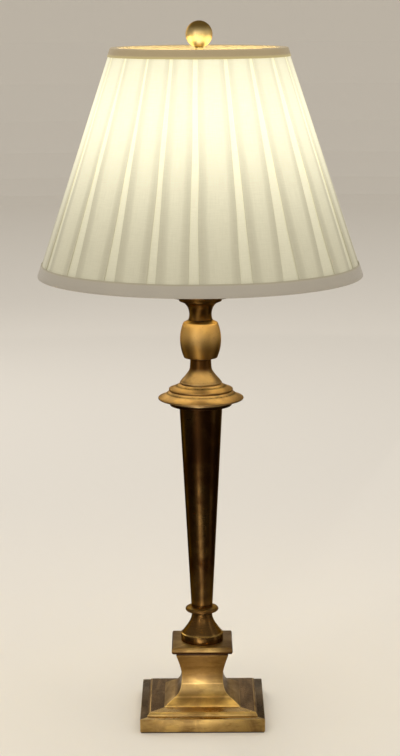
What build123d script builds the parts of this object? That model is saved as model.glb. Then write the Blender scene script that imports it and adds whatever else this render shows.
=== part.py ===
from build123d import *
import os
from math import cos, hypot, radians, sin

# A candlestick table lamp: a brass stem on a square stepped foot, clamped by one threaded pipe, with a
# socket, a harp and a pleated cone shade held by a ball finial.
# Lengths are in millimetres. The origin is under the middle of the foot, +Z is up and -Y is the front.

# Fits and cuts
pipe_fit = 0.2
spigot_fit = 0.2
running_fit = 0.05
thread_fit = 0.05
soft_gap = 0.3
slot_fit = 0.3
cut_overrun = 2.0
quarter_share = 0.707

# Lamp pipe, the threaded tube that clamps the whole stem
pipe_radius = 5.0
pipe_bore_radius = 3.4
pipe_tail = 0.8
pipe_top_engagement_share = 0.9

# Square plinth, its felt and its edge
plinth_width = 137.9
plinth_height = 14.75
plinth_wall = 3.0
plinth_edge = 0.7
felt_height = 1.2
felt_inset = 1.0

# Iron weight and clamping hardware under the plinth
weight_width = 112.0
weight_height = 8.0
weight_hole_radius = 22.0
weight_channel_width = 12.0
weight_edge = 1.0
base_washer_radius = 14.0
base_washer_height = 1.5
lock_washer_radius = 8.6
lock_washer_height = 1.2
lock_washer_slit = 1.4
base_nut_flats = 16.0
base_nut_height = 3.4

# Cord outlet bushing in the back wall of the plinth
bushing_bore_radius = 3.4
bushing_sleeve_radius = 4.5
bushing_flange_radius = 6.0
bushing_flange_height = 1.0
bushing_collar_radius = 4.9
bushing_collar_height = 0.8

# Square pedestal above the plinth, half widths from the axis
pedestal_height = 62.95
pedestal_half = 63.0
pedestal_lip_half = 58.5
pedestal_toe_half = 41.5
pedestal_lip_height = 4.8
pedestal_arris_half = 30.8
pedestal_arris_height = 12.6
pedestal_waist_half = 23.5
pedestal_waist_height = 25.75
pedestal_neck_half = 29.0
pedestal_neck_height = 60.0
pedestal_wall = 3.5
cavetto_shares = ((0.28, 0.12), (0.57, 0.39))
scotia_low_shares = ((0.47, 0.22), (0.81, 0.55))
scotia_high_shares = ((-0.07, 0.34), (0.31, 0.64))

# Square cap on the pedestal
cap_half = 34.0
cap_height = 7.1
cap_edge_bulge = 1.3

# Turned foot bell and bead under the column
bell_foot_radius = 23.7
bell_foot_band = 7.2
bell_foot_neck_radius = 12.05
bell_foot_height = 31.9
bell_foot_ease = 0.5
bell_foot_shares = ((0.22, 0.15), (0.46, 0.25), (0.71, 0.40), (0.93, 0.64))
bead_radius = 18.46
bead_height = 10.0
bead_foot_round = 4.4
bead_top_round = 1.6
bead_widest_share = 0.55

# Tapered column, a thin tube between two spigots
column_bottom_radius = 12.0
column_top_radius = 24.1
column_length = 228.1
column_wall = 1.5
spigot_height = 3.0

# Discs above the column
under_ring_radius = 34.2
under_ring_height = 2.9
disc_ease = 0.5
drip_disc_radius = 47.1
drip_disc_height = 11.2
drip_rim_height = 4.8
drip_rim_round = 1.3
drip_top_shares = (0.55, 0.72)
tier_radius = 35.25
tier_height = 8.1
tier_side_height = 3.3
tier_top_shares = (0.5, 0.68)

# Turned neck and barrel
neck_foot_radius = 23.2
neck_foot_height = 2.6
neck_radius = 11.25
neck_height = 29.8
neck_shares = ((0.11, 0.09), (0.38, 0.24), (0.62, 0.39), (0.925, 0.64))
neck_straight_height = 4.0
barrel_radius = 22.6
barrel_end_radius = 18.3
barrel_shoulder_radius = 18.6
barrel_body_height = 40.4
barrel_height = 43.3
barrel_neck_radius = 13.2

# Candle cup and the drip pan on it
cup_foot_radius = 13.4
cup_neck_radius = 12.3
cup_neck_height = 7.0
cup_rim_radius = 23.5
cup_rim_height = 4.6
cup_height = 25.6
cup_shares = ((0.07, 0.30), (0.20, 0.55), (0.50, 0.82))
pan_radius = 37.0
pan_height = 4.1
pan_foot_radius = 24.0
pan_rim_rise = 1.4
pan_floor_radius = 32.0

# Harp saddle with its two ears, and the nut that holds it
ear_spread = 27.5
saddle_width = 14.0
saddle_thickness = 1.6
saddle_bend = 1.8
ear_width = 5.4
ear_height = 9.5
lock_nut_flats = 15.0
lock_nut_height = 3.2

# Socket cap, set screw and shell
cap_hub_radius = 7.5
cap_hub_height = 8.0
cap_dish_radius = 14.0
cap_dish_rise = 1.0
cap_dome_height = 5.0
socket_cap_height = 18.0
socket_cap_radius = 18.1
socket_wall = 0.75
set_screw_radius = 1.5
set_screw_length = 4.5
shell_radius = 17.1
shell_wall = 0.5
shell_height = 53.0
shell_lap = 4.0
shell_lip = 1.3
bead_line_depth = 0.5
bead_line_height = 2.0
bead_line_pitch = 3.4
bead_line_start = 38.0
bead_line_count = 3
sleeve_wall = 0.7

# Socket interior, screw shell and contact
interior_radius = 13.6
interior_height = 25.0
centre_contact_radius = 4.0
centre_contact_height = 2.2
contact_gap = 0.3
thread_mean_radius = 12.95
thread_depth = 0.7
thread_pitch = 3.6
thread_turns = 5
thread_gap = 0.35
screw_shell_wall = 0.45
screw_shell_floor = 0.8
terminal_radius = 2.6
terminal_height = 1.4

# Turn switch on the front of the socket
switch_stem_radius = 2.2
switch_stem_depth = 5.0
switch_stem_reach = 30.0
switch_height = 13.5
switch_opening_radius = 3.2
knob_radius = 5.6
knob_length = 11.0
knob_flutes = 12
knob_flute_radius = 0.9
knob_ease = 0.8

# Bulb with its screw base
bulb_radius = 30.0
bulb_glass_height = 84.0
bulb_neck_radius = 12.0
bulb_glass_wall = 0.8
bulb_shoulder_share = 0.62
bulb_shoulder_radius_share = 0.80
bulb_cap_top_height = 4.5
bulb_cap_wall = 0.35
bulb_insulator_height = 3.0
bulb_insulator_radius = 7.0
bulb_tip_radius = 4.4
bulb_tip_height = 2.0

# Harp: a wire bow with slotted feet, and the sleeves that lock it
wire_radius = 1.6
harp_height = 244.4
harp_half_width = 56.0
harp_leg_top_share = 0.173
harp_low_share = 0.44
harp_high_share = 0.81
harp_crown_half = 30.0
harp_leg_bend = 60.0
harp_low_bend = 80.0
harp_high_bend = 100.0
harp_crown_bend = 35.0
foot_width = 7.0
foot_thickness = 4.4
foot_height = 14.0
harp_eye_radius = 6.5
harp_eye_height = 2.0
sleeve_inner_radius = 4.9
sleeve_outer_radius = 6.0
sleeve_height = 16.0
sleeve_ease = 0.6

# Swivel on the harp, with the stud for the finial
swivel_shank_radius = 2.5
swivel_rivet_radius = 4.2
swivel_rivet_height = 1.2
swivel_play = 0.2
swivel_plate_radius = 10.0
swivel_plate_height = 1.6
stud_radius = 3.1
stud_height = 13.0

# Finial
finial_flange_radius = 9.0
finial_flange_height = 2.6
finial_neck_radius = 4.66
finial_neck_height = 14.5
finial_neck_shares = ((0.62, 0.16), (0.93, 0.50))
finial_ball_radius = 14.45

# Shade: a straight cone measured over its trims
shade_bottom_radius = 177.8
shade_top_radius = 95.5
shade_height = 246.2
shade_drop = 16.0
spider_washer_radius = 14.0
spider_washer_height = 1.6
spider_hole_radius = 3.4
spider_arms = 3
spider_arm_start = 11.6
spider_arm_rise = 0.6
spider_arm_angle = 90.0
strut_radius = 1.1
strut_count = 6
strut_start_angle = 0.0
trim_thickness = 0.8
bottom_trim_height = 14.0
top_trim_height = 9.5
trim_tuck_height = 6.0
trim_gap = 0.1
cover_thickness = 2.3
pleat_depth = 1.3
lining_thickness = 0.5
lining_gap = 0.15
pleat_count = 21
first_pleat = -4
panel_parts = 3
fold_share = 0.03
stripe_shift_shares = (-0.14, -0.01, 0.08, 0.01, -0.13, -0.06, -0.08, 0.01, 0.05, -0.04, 0.06,
                       0.10, -0.05, -0.09, 0.03, 0.07, -0.06, 0.02, 0.09, -0.03, -0.08)
stripe_bottom_shares = (0.26, 0.32, 0.27, 0.19, 0.22, 0.27, 0.41, 0.41, 0.26, 0.30, 0.24,
                        0.22, 0.33, 0.28, 0.20, 0.26, 0.36, 0.25, 0.22, 0.31, 0.27)
stripe_top_shares = (0.12, 0.10, 0.08, 0.12, 0.16, 0.13, 0.13, 0.17, 0.12, 0.14, 0.11,
                     0.10, 0.15, 0.13, 0.09, 0.12, 0.16, 0.12, 0.10, 0.14, 0.12)

# Heights of the stack, each piece standing on the one below
plinth_base = felt_height
plinth_top = plinth_base + plinth_height
plinth_web = plinth_top - plinth_wall
pedestal_top = plinth_top + pedestal_height
cap_top = pedestal_top + cap_height
bead_base = cap_top + bell_foot_height
column_base = bead_base + bead_height
column_top = column_base + column_length
drip_base = column_top + under_ring_height
tier_base = drip_base + drip_disc_height
neck_base = tier_base + tier_height
barrel_base = neck_base + neck_height
cup_base = barrel_base + barrel_height
pan_base = cup_base + cup_height
saddle_base = pan_base + pan_height
saddle_top = saddle_base + saddle_thickness
hub_base = saddle_top + lock_nut_height
nut_base = plinth_web - base_washer_height - lock_washer_height - base_nut_height
pipe_base = nut_base - pipe_tail
pipe_top = hub_base + cap_hub_height * pipe_top_engagement_share

# Heights of the socket and the bulb
cap_floor = hub_base + cap_hub_height
socket_cap_top = hub_base + socket_cap_height
shell_base = socket_cap_top - shell_lap
shell_top = shell_base + shell_height
interior_base = cap_floor + cap_dish_rise + socket_wall
interior_top = interior_base + interior_height
switch_level = interior_base + switch_height
screw_floor = interior_top + screw_shell_floor
contact_top = screw_floor + centre_contact_height
bulb_tip_base = contact_top + contact_gap
insulator_base = bulb_tip_base + bulb_tip_height
bulb_thread_base = insulator_base + bulb_insulator_height
bulb_thread_top = bulb_thread_base + thread_pitch * thread_turns
glass_base = bulb_thread_top + bulb_cap_top_height

# Heights of the harp, the swivel, the shade and the finial
harp_crown = saddle_top + harp_height
eye_base = harp_crown - harp_eye_height / 2
eye_top = harp_crown + harp_eye_height / 2
swivel_plate_base = harp_crown + wire_radius + soft_gap
washer_base = swivel_plate_base + swivel_plate_height
washer_top = washer_base + spider_washer_height
shade_top = washer_base + shade_drop
shade_base = shade_top - shade_height
finial_base_level = washer_top
ball_seat = finial_base_level + finial_neck_height
ball_level = ball_seat + (finial_ball_radius ** 2 - finial_neck_radius ** 2) ** 0.5

# Radii that follow from fits
stack_bore = pipe_radius + pipe_fit
shell_inner_radius = shell_radius - shell_wall
insulator_radius = shell_inner_radius - thread_fit
shade_slope = (shade_bottom_radius - shade_top_radius) / shade_height
shade_slant = hypot(1, shade_slope)

# Depths of the shade's layers under the outside of the trims, square to the cone
cover_depth = trim_thickness + trim_gap
lining_depth = cover_depth + cover_thickness + lining_gap
ring_depth = lining_depth + lining_thickness + trim_gap + wire_radius
tuck_depth = ring_depth + wire_radius + trim_gap
bottom_ring_level = shade_base + trim_thickness + trim_gap + wire_radius
top_ring_level = shade_top - trim_thickness - trim_gap - wire_radius
pleat_pitch = 360 / pleat_count


# Shared outlines
def course(start, end, shares):
    """A smooth curve from start to end through points given as shares of the way across and up."""
    run, rise = end[0] - start[0], end[1] - start[1]
    between = [(start[0] + run * across, start[1] + rise * up) for across, up in shares]
    return Spline(start, *between, end)


def quarter(start, end):
    """A quarter round that leaves start along X and reaches end along Z."""
    across = start[0] + (end[0] - start[0]) * quarter_share
    up = start[1] + (end[1] - start[1]) * (1 - quarter_share)
    return ThreePointArc(start, (across, up), end)


def eased_rim(radius, low, high, ease):
    """The edge of a disc with both corners rounded."""
    inner = radius - ease
    corner = ease * (1 - cos(radians(45)))
    return [
        ThreePointArc((inner, low), (radius - corner, low + corner), (radius, low + ease)),
        Line((radius, low + ease), (radius, high - ease)),
        ThreePointArc((radius, high - ease), (radius - corner, high - corner), (inner, high)),
    ]


def turned(strokes, bore, low, high):
    """Turns the strokes, drawn from the bottom up, about the stem's axis round a bore."""
    first, last = strokes[0] @ 0, strokes[-1] @ 1
    closing = Polyline((last.X, last.Y), (bore, high), (bore, low), (first.X, first.Y))
    return revolve(Plane.XZ * make_face([*strokes, *closing.edges()]), Axis.Z)


def square_moulding(strokes, low, high, reach):
    """Runs the same side profile along X and along Y and keeps what both hold."""
    first, last = strokes[0] @ 0, strokes[-1] @ 1
    closing = Polyline((last.X, last.Y), (0, high), (0, low), (first.X, first.Y))
    half = make_face([*strokes, *closing.edges()])
    profile = half + mirror(half, about=Plane.YZ)
    run = extrude(Plane.XZ * profile, amount=reach, both=True)
    return run & (Rot(Z=90) * run)


def tube(outer, inner, low, high):
    """A plain ring between two heights."""
    height = high - low
    middle = low + height / 2
    return Pos(0, 0, middle) * (Cylinder(outer, height) - Cylinder(inner, height + cut_overrun))


def disc(radius, low, high):
    """A plain cylinder between two heights."""
    return Pos(0, 0, (low + high) / 2) * Cylinder(radius, high - low)


def hex_nut(flats, bore, low, height):
    """A hexagonal nut with a plain bore."""
    body = extrude(Pos(0, 0, low) * RegularPolygon(flats / 2, 6, major_radius=False), height)
    hole = disc(bore, low - cut_overrun, low + height + cut_overrun)
    bevel = flats * (1 / cos(radians(30)) - 1) / 2
    round_body = disc(flats / 2 + bevel, low, low + height)
    crown = chamfer(round_body.edges().filter_by(GeomType.CIRCLE), bevel / 2)
    return (body & crown) - hole


def cone_radius(level, depth):
    """Radius of the shade's cone at a height, a depth under the outside of its trims."""
    return shade_bottom_radius - (level - shade_base) * shade_slope - depth * shade_slant


def cone_band(outer_depth, inner_depth, low, high):
    """A band of the shade between two depths and two heights."""
    outline = Polyline(
        (cone_radius(low, outer_depth), low),
        (cone_radius(high, outer_depth), high),
        (cone_radius(high, inner_depth), high),
        (cone_radius(low, inner_depth), low),
        close=True,
    )
    return revolve(Plane.XZ * make_face(outline), Axis.Z)


def rod(start, end, radius):
    """A straight round rod between two points."""
    line = Line(start, end)
    return sweep(Plane(line @ 0, z_dir=line % 0) * Circle(radius), path=line)


def threads(mean, base, depth, turns):
    """Points of a rolled thread's profile, low to high, as rings."""
    step = thread_pitch / 2
    return [(mean + depth / 2 * (-1) ** (count + 1), base + count * step) for count in range(2 * turns + 1)]


# Foot
def make_base_felt():
    side = plinth_width - 2 * felt_inset
    return Pos(0, 0, felt_height / 2) * Box(side, side, felt_height)


def make_base_plinth():
    block = Pos(0, 0, plinth_base + plinth_height / 2) * Box(plinth_width, plinth_width, plinth_height)
    block = fillet(block.edges().filter_by(Axis.Z), plinth_edge)
    block = fillet(block.faces().sort_by(Axis.Z)[-1].edges(), plinth_edge)
    hollow_side = plinth_width - 2 * plinth_wall
    hollow_height = plinth_height - plinth_wall
    hollow = Pos(0, 0, plinth_base + hollow_height / 2) * Box(hollow_side, hollow_side, hollow_height)
    pipe_hole = disc(stack_bore, plinth_web - cut_overrun, plinth_top + cut_overrun)
    outlet = cord_hole(bushing_sleeve_radius + running_fit, plinth_wall + cut_overrun)
    return block - hollow - pipe_hole - outlet


def outlet_level():
    """Height of the cord outlet, half way up the hollow of the plinth."""
    return (plinth_base + plinth_web) / 2


def cord_hole(radius, depth):
    """A round cut through the back wall of the plinth."""
    middle = plinth_width / 2 + cut_overrun - (depth + cut_overrun) / 2
    return Pos(0, middle, outlet_level()) * Rot(X=90) * Cylinder(radius, depth + cut_overrun)


def make_cord_bushing():
    back = plinth_width / 2
    inside = back - plinth_wall
    pieces = (
        (bushing_flange_radius, back, back + bushing_flange_height),
        (bushing_sleeve_radius, inside, back),
        (bushing_collar_radius, inside - bushing_collar_height, inside),
    )
    bushing = Part()
    for radius, near, far in pieces:
        bushing += Pos(0, (near + far) / 2, outlet_level()) * Rot(X=90) * Cylinder(radius, far - near)
    length = bushing_flange_height + plinth_wall + bushing_collar_height
    bore = Pos(0, back, outlet_level()) * Rot(X=90) * Cylinder(bushing_bore_radius, 2 * length)
    return bushing - bore


def make_base_weight():
    low = plinth_web - weight_height
    block = Pos(0, 0, low + weight_height / 2) * Box(weight_width, weight_width, weight_height)
    block = chamfer(block.faces().sort_by(Axis.Z)[0].edges(), weight_edge)
    hole = disc(weight_hole_radius, low - cut_overrun, plinth_web + cut_overrun)
    run = weight_width / 2 + cut_overrun
    channel = Box(weight_channel_width, run, weight_height + 2 * cut_overrun)
    return block - hole - Pos(0, run / 2, low + weight_height / 2) * channel


def make_base_washer():
    return tube(base_washer_radius, stack_bore, plinth_web - base_washer_height, plinth_web)


def make_base_lock_washer():
    low = nut_base + base_nut_height
    ring = tube(lock_washer_radius, stack_bore, low, low + lock_washer_height)
    slit = Pos(lock_washer_radius, 0, low) * Box(2 * lock_washer_radius, lock_washer_slit, 2 * cut_overrun)
    return ring - slit


def make_base_nut():
    return hex_nut(base_nut_flats, pipe_radius + thread_fit, nut_base, base_nut_height)


def make_lamp_pipe():
    return tube(pipe_radius, pipe_bore_radius, pipe_base, pipe_top)


# Square pedestal
def make_pedestal():
    foot = plinth_top
    lip = foot + pedestal_lip_height
    arris = (pedestal_arris_half, foot + pedestal_arris_height)
    waist = (pedestal_waist_half, foot + pedestal_waist_height)
    neck = (pedestal_neck_half, foot + pedestal_neck_height)
    lip_middle = pedestal_lip_half + (pedestal_half - pedestal_lip_half) * quarter_share
    strokes = [
        ThreePointArc((pedestal_half, foot), (lip_middle, foot + pedestal_lip_height * quarter_share),
                      (pedestal_lip_half, lip)),
        Line((pedestal_lip_half, lip), (pedestal_toe_half, lip)),
        course((pedestal_toe_half, lip), arris, cavetto_shares),
        course(arris, waist, scotia_low_shares),
        course(waist, neck, scotia_high_shares),
        Line(neck, (pedestal_neck_half, pedestal_top)),
    ]
    outside = square_moulding(strokes, foot, pedestal_top, pedestal_half + cut_overrun)
    core_half = pedestal_waist_half - pedestal_wall
    core = Polyline(
        (pedestal_toe_half - pedestal_wall, foot - cut_overrun),
        (pedestal_toe_half - pedestal_wall, lip - pedestal_wall),
        (pedestal_arris_half - pedestal_wall, arris[1] - pedestal_wall),
        (core_half, (arris[1] + waist[1]) / 2),
        (core_half, pedestal_top - pedestal_wall),
    )
    inside = square_moulding(core.edges(), foot - cut_overrun, pedestal_top - pedestal_wall, pedestal_half)
    return outside - inside - disc(stack_bore, plinth_top, pedestal_top + cut_overrun)


def make_pedestal_cap():
    end_half = cap_half - cap_edge_bulge
    middle = (cap_half, pedestal_top + cap_height / 2)
    edge = ThreePointArc((end_half, pedestal_top), middle, (end_half, cap_top))
    plate = square_moulding([edge], pedestal_top, cap_top, cap_half + cut_overrun)
    return plate - disc(stack_bore, pedestal_top - cut_overrun, cap_top + cut_overrun)


# Turned stem
def make_foot_bell():
    band_top = cap_top + bell_foot_band
    shoulder = bell_foot_radius - bell_foot_ease
    neck = (bell_foot_neck_radius, bead_base)
    strokes = [
        Line((bell_foot_radius, cap_top), (bell_foot_radius, band_top - bell_foot_ease)),
        Line((bell_foot_radius, band_top - bell_foot_ease), (shoulder, band_top)),
        course((shoulder, band_top), neck, bell_foot_shares),
    ]
    return turned(strokes, stack_bore, cap_top, bead_base)


def make_bead_ring():
    widest = (bead_radius, bead_base + bead_height * bead_widest_share)
    bulge = ThreePointArc(
        (bead_radius - bead_foot_round, bead_base), widest, (bead_radius - bead_top_round, column_base)
    )
    spigot_radius = column_bottom_radius - column_wall - spigot_fit
    spigot = tube(spigot_radius, stack_bore, column_base, column_base + spigot_height)
    return turned([bulge], stack_bore, bead_base, column_base) + spigot


def make_column():
    outline = Polyline(
        (column_bottom_radius, column_base),
        (column_top_radius, column_top),
        (column_top_radius - column_wall, column_top),
        (column_bottom_radius - column_wall, column_base),
        close=True,
    )
    return revolve(Plane.XZ * make_face(outline), Axis.Z)


def make_under_ring():
    rim = eased_rim(under_ring_radius, column_top, drip_base, disc_ease)
    ring = turned(rim, stack_bore, column_top, drip_base)
    taper = (column_top_radius - column_bottom_radius) / column_length
    spigot_radius = column_top_radius - column_wall - spigot_fit - spigot_height * taper
    return ring + tube(spigot_radius, stack_bore, column_top - spigot_height, column_top)


def make_drip_disc():
    rim = drip_base + drip_rim_height
    edge = drip_disc_radius - drip_rim_round
    inner = tier_radius + disc_ease
    middle = (
        edge + (inner - edge) * drip_top_shares[0],
        rim + drip_rim_round + (tier_base - rim - drip_rim_round) * drip_top_shares[1],
    )
    strokes = [
        Line((under_ring_radius, drip_base), (edge, rim - drip_rim_round)),
        ThreePointArc((edge, rim - drip_rim_round), (drip_disc_radius, rim), (edge, rim + drip_rim_round)),
        ThreePointArc((edge, rim + drip_rim_round), middle, (inner, tier_base)),
    ]
    return turned(strokes, stack_bore, drip_base, tier_base)


def make_tier_disc():
    shoulder = tier_base + tier_side_height
    middle = (
        tier_radius + (neck_foot_radius - tier_radius) * tier_top_shares[0],
        shoulder + (neck_base - shoulder) * tier_top_shares[1],
    )
    strokes = [
        Line((tier_radius, tier_base), (tier_radius, shoulder)),
        ThreePointArc((tier_radius, shoulder), middle, (neck_foot_radius, neck_base)),
    ]
    return turned(strokes, stack_bore, tier_base, neck_base)


def make_bell_neck():
    edge = neck_foot_radius - disc_ease
    foot_top = neck_base + neck_foot_height
    straight = barrel_base - neck_straight_height
    strokes = [
        ThreePointArc((edge, neck_base), (neck_foot_radius, (neck_base + foot_top) / 2), (edge, foot_top)),
        course((edge, foot_top), (neck_radius, straight), neck_shares),
        Line((neck_radius, straight), (neck_radius, barrel_base)),
    ]
    return turned(strokes, stack_bore, neck_base, barrel_base)


def make_barrel():
    shoulder = barrel_base + barrel_body_height
    belly = (barrel_radius, barrel_base + barrel_body_height / 2)
    strokes = [
        ThreePointArc((barrel_end_radius, barrel_base), belly, (barrel_shoulder_radius, shoulder)),
        Line((barrel_shoulder_radius, shoulder), (barrel_neck_radius, cup_base)),
    ]
    return turned(strokes, stack_bore, barrel_base, cup_base)


def make_candle_cup():
    rim_base = pan_base - cup_rim_height
    neck_level = cup_base + cup_neck_height
    middle_radius = (cup_foot_radius + cup_neck_radius) / 2 - disc_ease / 2
    foot_middle = (middle_radius, (cup_base + neck_level) / 2 - disc_ease)
    strokes = [
        ThreePointArc((cup_foot_radius, cup_base), foot_middle, (cup_neck_radius, neck_level)),
        course((cup_neck_radius, neck_level), (cup_rim_radius, rim_base), cup_shares),
        Line((cup_rim_radius, rim_base), (cup_rim_radius, pan_base - disc_ease)),
        Line((cup_rim_radius, pan_base - disc_ease), (cup_rim_radius - disc_ease, pan_base)),
    ]
    return turned(strokes, stack_bore, cup_base, pan_base)


def make_drip_pan():
    rim_top = saddle_base + pan_rim_rise
    rim_middle = (pan_base + rim_top) / 2
    strokes = [
        Line((pan_foot_radius, pan_base), (pan_radius - pan_rim_rise, pan_base + disc_ease)),
        ThreePointArc((pan_radius - pan_rim_rise, pan_base + disc_ease), (pan_radius, rim_middle),
                      (pan_radius - pan_rim_rise, rim_top)),
        Line((pan_radius - pan_rim_rise, rim_top), (pan_floor_radius, saddle_base)),
    ]
    return turned(strokes, stack_bore, pan_base, saddle_base)


# Harp saddle and its nut
def make_harp_saddle():
    length = 2 * ear_spread + saddle_thickness
    height = saddle_thickness + ear_height
    outside = Pos(0, 0, saddle_base + height / 2) * Box(length, saddle_width, height)
    inside_length = length - 2 * saddle_thickness
    inside = Pos(0, 0, saddle_top + ear_height) * Box(inside_length, 2 * saddle_width, 2 * ear_height)
    strip = fillet((outside - inside).edges().filter_by(Axis.Y).sort_by(Axis.Z)[:2], saddle_bend)
    shoulder_width = (saddle_width - ear_width) / 2
    for side in (-1, 1):
        offset = side * (ear_width + shoulder_width) / 2
        strip -= Pos(0, offset, saddle_top + ear_height) * Box(2 * length, shoulder_width, 2 * ear_height)
    hole = disc(stack_bore, saddle_base - cut_overrun, saddle_top + cut_overrun)
    return strip - hole


def make_saddle_nut():
    return hex_nut(lock_nut_flats, pipe_radius + thread_fit, saddle_top, lock_nut_height)


# Socket
def make_socket_cap():
    shoulder = cap_floor + cap_dome_height
    cup_inner = socket_cap_radius - socket_wall
    dish = (cap_dish_radius, cap_floor + cap_dish_rise)
    dome = [
        Line((cap_hub_radius, hub_base), (cap_hub_radius, cap_floor)),
        Line((cap_hub_radius, cap_floor), dish),
        quarter(dish, (socket_cap_radius, shoulder)),
        Line((socket_cap_radius, shoulder), (socket_cap_radius, socket_cap_top)),
        Line((socket_cap_radius, socket_cap_top), (cup_inner, socket_cap_top)),
        Line((cup_inner, socket_cap_top), (cup_inner, shoulder)),
        quarter((cap_dish_radius, interior_base), (cup_inner, shoulder)),
        Line((cap_dish_radius, interior_base), (interior_radius, interior_base)),
    ]
    cup = turned(dome, pipe_radius + thread_fit, hub_base, interior_base)
    return cup - set_screw_rod(set_screw_radius + thread_fit, cap_hub_radius + cut_overrun)


def set_screw_rod(radius, reach):
    """A rod along the set screw's axis, from the pipe out to a reach at the back."""
    level = hub_base + cap_hub_height / 2
    near = pipe_radius + thread_fit
    return Pos(0, (near + reach) / 2, level) * Rot(X=90) * Cylinder(radius, reach - near)


def make_set_screw():
    return set_screw_rod(set_screw_radius, pipe_radius + thread_fit + set_screw_length)


def make_socket_shell():
    """A pressed tube with three rolled lines near its mouth and a lip that is turned in."""
    first_line = shell_base + bead_line_start
    grooves = [first_line + count * bead_line_pitch for count in range(bead_line_count)]
    outer_points = [(shell_radius, shell_base)]
    inner_points = [(shell_inner_radius, shell_base)]
    for level in grooves:
        for points, radius in ((outer_points, shell_radius), (inner_points, shell_inner_radius)):
            points.append((radius, level - bead_line_height / 2))
            points.append((radius - bead_line_depth, level))
            points.append((radius, level + bead_line_height / 2))
    lip_radius = shell_radius - shell_lip
    outer_points += [(shell_radius, shell_top), (lip_radius, shell_top)]
    inner_points += [(shell_inner_radius, shell_top - shell_wall), (lip_radius, shell_top - shell_wall)]
    outline = Polyline(*outer_points, *reversed(inner_points), close=True)
    shell = revolve(Plane.XZ * make_face(outline), Axis.Z)
    return shell - switch_opening()


def switch_opening():
    """A round opening in the front of the shell for the switch stem."""
    return Pos(0, -shell_radius, switch_level) * Rot(X=90) * Cylinder(switch_opening_radius, shell_radius)


def make_insulating_sleeve():
    outer = insulator_radius - bead_line_depth
    sleeve = tube(outer, outer - sleeve_wall, shell_base, shell_top - shell_wall - soft_gap)
    return sleeve - switch_opening()


def make_socket_interior():
    body = disc(interior_radius, interior_base, interior_top)
    stem_hole = Pos(0, -interior_radius, switch_level) * Rot(X=90)
    body -= stem_hole * Cylinder(switch_stem_radius + running_fit, 2 * switch_stem_depth)
    for side in (-1, 1):
        body -= terminal_seat(side, terminal_radius + running_fit)
    return body


def terminal_seat(side, radius):
    """The space of one terminal screw, sunk by half its head in the side of the interior."""
    return Pos(side * interior_radius, 0, switch_level) * Rot(Y=90) * Cylinder(radius, terminal_height)


def make_terminal_screws():
    screws = Part()
    for side in (-1, 1):
        screws += terminal_seat(side, terminal_radius)
    return screws


def make_centre_contact():
    return disc(centre_contact_radius, screw_floor, contact_top)


def make_screw_shell():
    """The socket's threaded cup, whose rings follow the bulb's thread with an even gap."""
    outer_mean = thread_mean_radius + thread_gap + screw_shell_wall
    inner_mean = thread_mean_radius + thread_gap
    inner = threads(inner_mean, bulb_thread_base, thread_depth, thread_turns)
    outer = threads(outer_mean, bulb_thread_base, thread_depth, thread_turns)
    inner_foot, outer_foot = inner[0][0], outer[0][0]
    outline = Polyline(
        (0, interior_top), (outer_foot, interior_top), *outer, *reversed(inner), (inner_foot, screw_floor),
        (0, screw_floor), close=True,
    )
    return revolve(Plane.XZ * make_face(outline), Axis.Z)


# Switch
def make_switch_stem():
    inner_end = interior_radius - switch_stem_depth + running_fit
    length = switch_stem_reach - inner_end
    stem = Cylinder(switch_stem_radius, length)
    return Pos(0, -(inner_end + length / 2), switch_level) * Rot(X=90) * stem


def make_switch_knob():
    """A fluted turn knob on the end of the stem."""
    body = Cylinder(knob_radius, knob_length)
    body = fillet(body.edges().filter_by(GeomType.CIRCLE), knob_ease)
    for spot in PolarLocations(knob_radius, knob_flutes):
        body -= spot * Cylinder(knob_flute_radius, knob_length + cut_overrun)
    return Pos(0, -(switch_stem_reach + knob_length / 2), switch_level) * Rot(X=90) * body


# Bulb
def bulb_outline(inset):
    """The glass outline from the neck to the crown, moved inwards by an inset."""
    ball = bulb_radius - inset
    belly = glass_base + bulb_glass_height - bulb_radius
    shoulder = (
        bulb_radius * bulb_shoulder_radius_share - inset,
        glass_base + (belly - glass_base) * bulb_shoulder_share,
    )
    dome = (ball * cos(radians(45)), belly + ball * sin(radians(45)))
    return [
        Spline((bulb_neck_radius - inset, glass_base), shoulder, (ball, belly), tangents=[(0, 1), (0, 1)]),
        ThreePointArc((ball, belly), dome, (0, belly + ball)),
    ]


def make_bulb_glass():
    crown = glass_base + bulb_glass_height
    rim = Line((bulb_neck_radius, glass_base), (bulb_neck_radius - bulb_glass_wall, glass_base))
    top = Line((0, crown), (0, crown - bulb_glass_wall))
    section = make_face([*bulb_outline(0), *bulb_outline(bulb_glass_wall), rim, top])
    return revolve(Plane.XZ * section, Axis.Z)


def make_bulb_cap():
    outside = threads(thread_mean_radius, bulb_thread_base, thread_depth, thread_turns)
    inside = [(radius - bulb_cap_wall, level) for radius, level in outside[1:]]
    floor_top = bulb_thread_base + bulb_cap_wall
    neck_inside = bulb_neck_radius - bulb_cap_wall
    outline = Polyline(
        *outside, (bulb_neck_radius, glass_base), (neck_inside, glass_base), *reversed(inside),
        (outside[0][0] - bulb_cap_wall, floor_top), (0, floor_top), (0, bulb_thread_base), close=True,
    )
    return revolve(Plane.XZ * make_face(outline), Axis.Z)


def make_bulb_contact():
    """The insulator under the screw base, with the solder tip at its middle."""
    insulator = loft([
        Pos(0, 0, insulator_base) * Circle(bulb_insulator_radius),
        Pos(0, 0, bulb_thread_base) * Circle(bulb_neck_radius),
    ])
    return insulator + disc(bulb_tip_radius, bulb_tip_base, insulator_base)


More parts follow.
